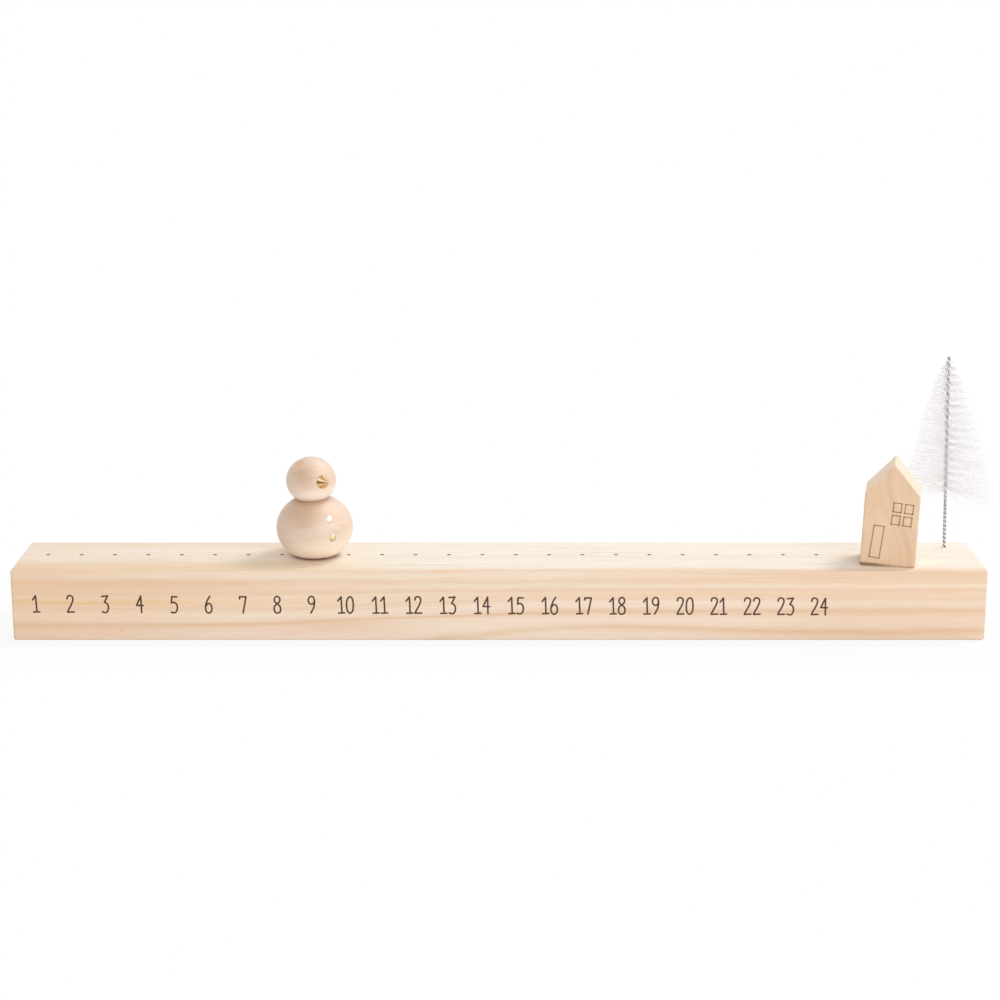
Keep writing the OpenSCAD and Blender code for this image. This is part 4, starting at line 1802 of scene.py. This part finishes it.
        share = (recipe.value("GeometryNodeInputIndex") + chance(1)) / count
        down = (1.0 - share).most(0.001)
        height = low + high * share
        side = math.pi * (recipe.value("GeometryNodeInputIndex") % 2.0)
        angle = start - 2 * math.pi * (height - low) / pitch + side + self.astray * around(2)
        trim = 1.0 - self.ragged[0] * chance(4) ** 3.0 - self.ragged[1] * chance(5)
        length = reach * down**fullness * trim + self.stub * MM
        points = recipe.made("GeometryNodeMeshLine", {"Count": count, "Offset": (0, 0, 0)})
        values = {"Geometry": points, "Position": recipe.vector(0.0, 0.0, height)}
        raised = recipe.made("GeometryNodeSetPosition", values)
        tilt = self.tilt[0] * around(6) - self.tilt[1] * (1.0 - down) ** 2.0
        facing = recipe.made("FunctionNodeEulerToRotation", {"Euler": recipe.vector(0.0, tilt, angle)})
        grown = recipe.made("GeometryNodeInstanceOnPoints", {
            "Points": raised, "Instance": recipe.entry.outputs["Geometry"], "Rotation": facing,
            "Scale": recipe.vector(length, thick / 2, thick / 2),
        })
        notes = {
            "down": down, "length": length, "bend": around(8), "swing": around(10),
            "wave": chance(12, 0.0, 6.28), "fan": self.fan * around(13),
        }
        for name, noted in notes.items():
            values = {"Geometry": grown, "Name": name, "Value": noted}
            kind = {"data_type": "FLOAT", "domain": "INSTANCE"}
            grown = recipe.made("GeometryNodeStoreNamedAttribute", values, **kind)
        grown = recipe.made("GeometryNodeRealizeInstances", {"Geometry": grown})
        down, length, bend, swing, wave, fan = (
            recipe.value("GeometryNodeInputNamedAttribute", {"Name": name}, "Attribute") for name in notes
        )
        x, y, _ = recipe.axes(recipe.made("GeometryNodeInputPosition"))
        radius = (x**2.0 + y**2.0).root().most(1e-5)
        fan = fan * radius.ease(self.free[0] * MM, self.free[1] * MM)
        sine, cosine = fan.sine(), (fan + math.pi / 2).sine()
        fanned_x, fanned_y = x * cosine - y * sine, x * sine + y * cosine
        out, rightward = radius / length, fanned_x / radius
        sag = drop * down**3.0 * (self.drop_even + self.drop_right * rightward) * out**1.7
        loose = self.bend * MM * down * bend * out**2.0
        ripple = self.ripple * MM * (out * self.ripples + wave).sine() * out
        aside = (self.swing * MM * down * swing * out**2.0 + ripple) / radius
        longer = 1.0 + self.stretch * down * (0.25 + rightward).most(0.0) * out
        across = fanned_x * longer - fanned_y * aside - x
        along = fanned_y * longer + fanned_x * aside - y
        values = {"Geometry": grown, "Offset": recipe.vector(across, along, loose + ripple - sag)}
        return recipe.stand(recipe.made("GeometryNodeSetPosition", values))

    def build_bristles(self) -> Object:
        """Builds the bristles, which cast no shadow, as light goes on through such a brush.

        Returns:
            The bristles as one piece.
        """
        piece = self.brush_recipe().run(self.one_bristle(), {
            "Finish": Nylon().material(), "Bristles": self.bristles, "Seed": self.seed,
            "From": self.brush_from * MM, "High": self.brush_high * MM, "Reach": self.reach * MM,
            "Fullness": self.fullness, "Thickness": self.bristle * MM, "Drop": self.drop * MM,
            "Pitch": self.brush_pitch * MM, "Start turn": self.twist(self.brush_from) + math.pi / 2,
            **self.placed(),
        })
        piece.visible_shadow = False
        return stand_for(piece, "tree", "tree_bristles", "nylon")

    def build(self, sweeper: Sweeper) -> list[Object]:
        """Builds the whole tree."""
        return [self.build_wire(sweeper), self.build_bristles()]


@dataclass
class HiddenParts:
    """The CAD nodes that keep their own shape: two steel pins and the neck's dowel."""

    nodes: Mapping[str, Object]

    def build(self) -> list[Object]:
        """Dresses the nodes.

        Returns:
            The dressed nodes.
        """
        steel = Metal("drawn_steel", MetalTone.PIN_STEEL).material()
        finishes = {"figure_pin": steel, "house_pin": steel, "neck_dowel": DowelBeech().material()}
        return [wear(self.nodes[name], material) for name, material in finishes.items()]


@dataclass(frozen=True)
class Lamp:
    """A soft lamp that points at the bar, with its size in metres and its power in watts."""

    name: str
    place: Point
    size: Flat
    power: float
    target: Point = (0, 0, 40)

    def hang(self) -> None:
        """Hangs the lamp."""
        data = bpy.data.lights.new(self.name, "AREA")
        data.shape, data.size, data.size_y, data.energy = "RECTANGLE", *self.size, self.power
        lamp = linked(bpy.data.objects.new(self.name, data))
        lamp.location = metres(self.place)
        lamp.rotation_euler = (metres(self.target) - lamp.location).to_track_quat("-Z", "Y").to_euler()


@dataclass
class Studio:
    """The camera, the pale floor and the soft lights."""

    eye: Point = (0.419, -901.387, 283.356)
    pitch_down: float = 14.267
    lens: float = 80.55
    sensor: float = 36.0
    clip: Flat = (0.01, 100.0)
    floor_wide: float = 40.0
    floor_under: float = 0.02
    sky: float = 0.66
    sky_tint: Colour = (1.0, 0.95, 0.89, 1.0)
    shown_share: float = 0.86
    shadow_over: Flat = (192.0, 18.0)
    shadow_reach: float = 55.0
    lamps: tuple[Lamp, ...] = (
        Lamp("key", (1150, 650, 2050), (0.85, 0.75), 20.5),
        Lamp("front", (1300, -2200, 700), (2.0, 1.2), 22.3),
    )

    def camera(self) -> None:
        """Sets the camera where the photograph was taken from."""
        data = bpy.data.cameras.new("camera")
        data.lens, data.sensor_width = self.lens, self.sensor
        data.clip_start, data.clip_end = self.clip
        camera = linked(bpy.data.objects.new("camera", data))
        camera.location = metres(self.eye)
        camera.rotation_euler = (math.radians(90 - self.pitch_down), 0, 0)
        bpy.context.scene.camera = camera

    @staticmethod
    def shown(graph: Graph, share: Number, lit: NodeSocket, white: NodeSocket) -> NodeSocket:
        """Shows plain white to rays that show the stage: straight, mirrored or through glass.

        Args:
            graph: The node tree.
            share: How much of the white such rays see.
            lit: The shader that all other light meets.
            white: The white one.

        Returns:
            The mixed shader.
        """
        path = graph.node("ShaderNodeLightPath").outputs
        rays = [Value(graph, path[f"Is {kind} Ray"]) for kind in ("Camera", "Glossy", "Transmission")]
        values = {"Fac": rays[0].most(rays[1]).most(rays[2]) * share, "Shader": lit, "Shader_001": white}
        return graph.made("ShaderNodeMixShader", values)

    def floor(self) -> None:
        """Lays the floor, which shows white and keeps a soft shadow."""
        shape = bmesh.new()
        bmesh.ops.create_grid(shape, x_segments=1, y_segments=1, size=self.floor_wide / 2 / MM)
        floor = mesh_from("floor", shape, moved(0, 0, -self.floor_under))
        paint = Paint("white_floor")
        matt = paint.made("ShaderNodeBsdfDiffuse", {"Color": (0.9, 0.9, 0.9, 1)})
        white = paint.made("ShaderNodeEmission", {"Strength": 1.0})
        beyond_x, beyond_y = (
            (abs(place) - half).most(0.0) for place, half in zip(paint.place(), self.shadow_over)
        )
        away = (beyond_x**2.0 + beyond_y**2.0).root()
        share = self.shown_share + (1.0 - self.shown_share) * away.ease(0.0, self.shadow_reach)
        paint.node("ShaderNodeOutputMaterial", {"Surface": self.shown(paint, share, matt, white)})
        wear(floor, paint.material)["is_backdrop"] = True

    def sky_light(self) -> None:
        """Sets the even light from all sides, which shows as white."""
        world = bpy.context.scene.world = bpy.data.worlds.new("white_room")
        world.use_nodes = True
        graph = Graph(world.node_tree)
        graph.tree.nodes.clear()
        dim = graph.made("ShaderNodeBackground", {"Color": self.sky_tint, "Strength": self.sky})
        white = graph.made("ShaderNodeBackground", {"Color": (1, 1, 1, 1), "Strength": 1.0})
        graph.node("ShaderNodeOutputWorld", {"Surface": self.shown(graph, 1.0, dim, white)})

    def build(self) -> None:
        """Sets the whole stage."""
        self.camera()
        self.floor()
        self.sky_light()
        for lamp in self.lamps:
            lamp.hang()


def corners() -> list[list[float]]:
    """Gives the shown object's lowest and highest corners as plain lists."""
    return [list(corner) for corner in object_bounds()]


def main() -> None:
    """Loads the frame, builds and dresses every piece and logs how many faces each has."""
    logging.basicConfig(level=logging.INFO, format="%(name)s: %(message)s")
    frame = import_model()
    bpy.context.scene.view_settings.view_transform = "Standard"
    Studio().build()
    cutter = Cutter()
    pieces = [Bar().build(cutter), DayNumbers().build(Sweeper(LineWay.FLAT)), House().build(cutter)]
    pieces += Figure().build()
    pieces += Tree().build(Sweeper(LineWay.FREE))
    pieces += HiddenParts(frame["nodes"]).build()
    for piece in pieces:
        LOG.info("%s: %d faces", piece.name, len(piece.data.polygons))


if __name__ == "__main__":
    main()
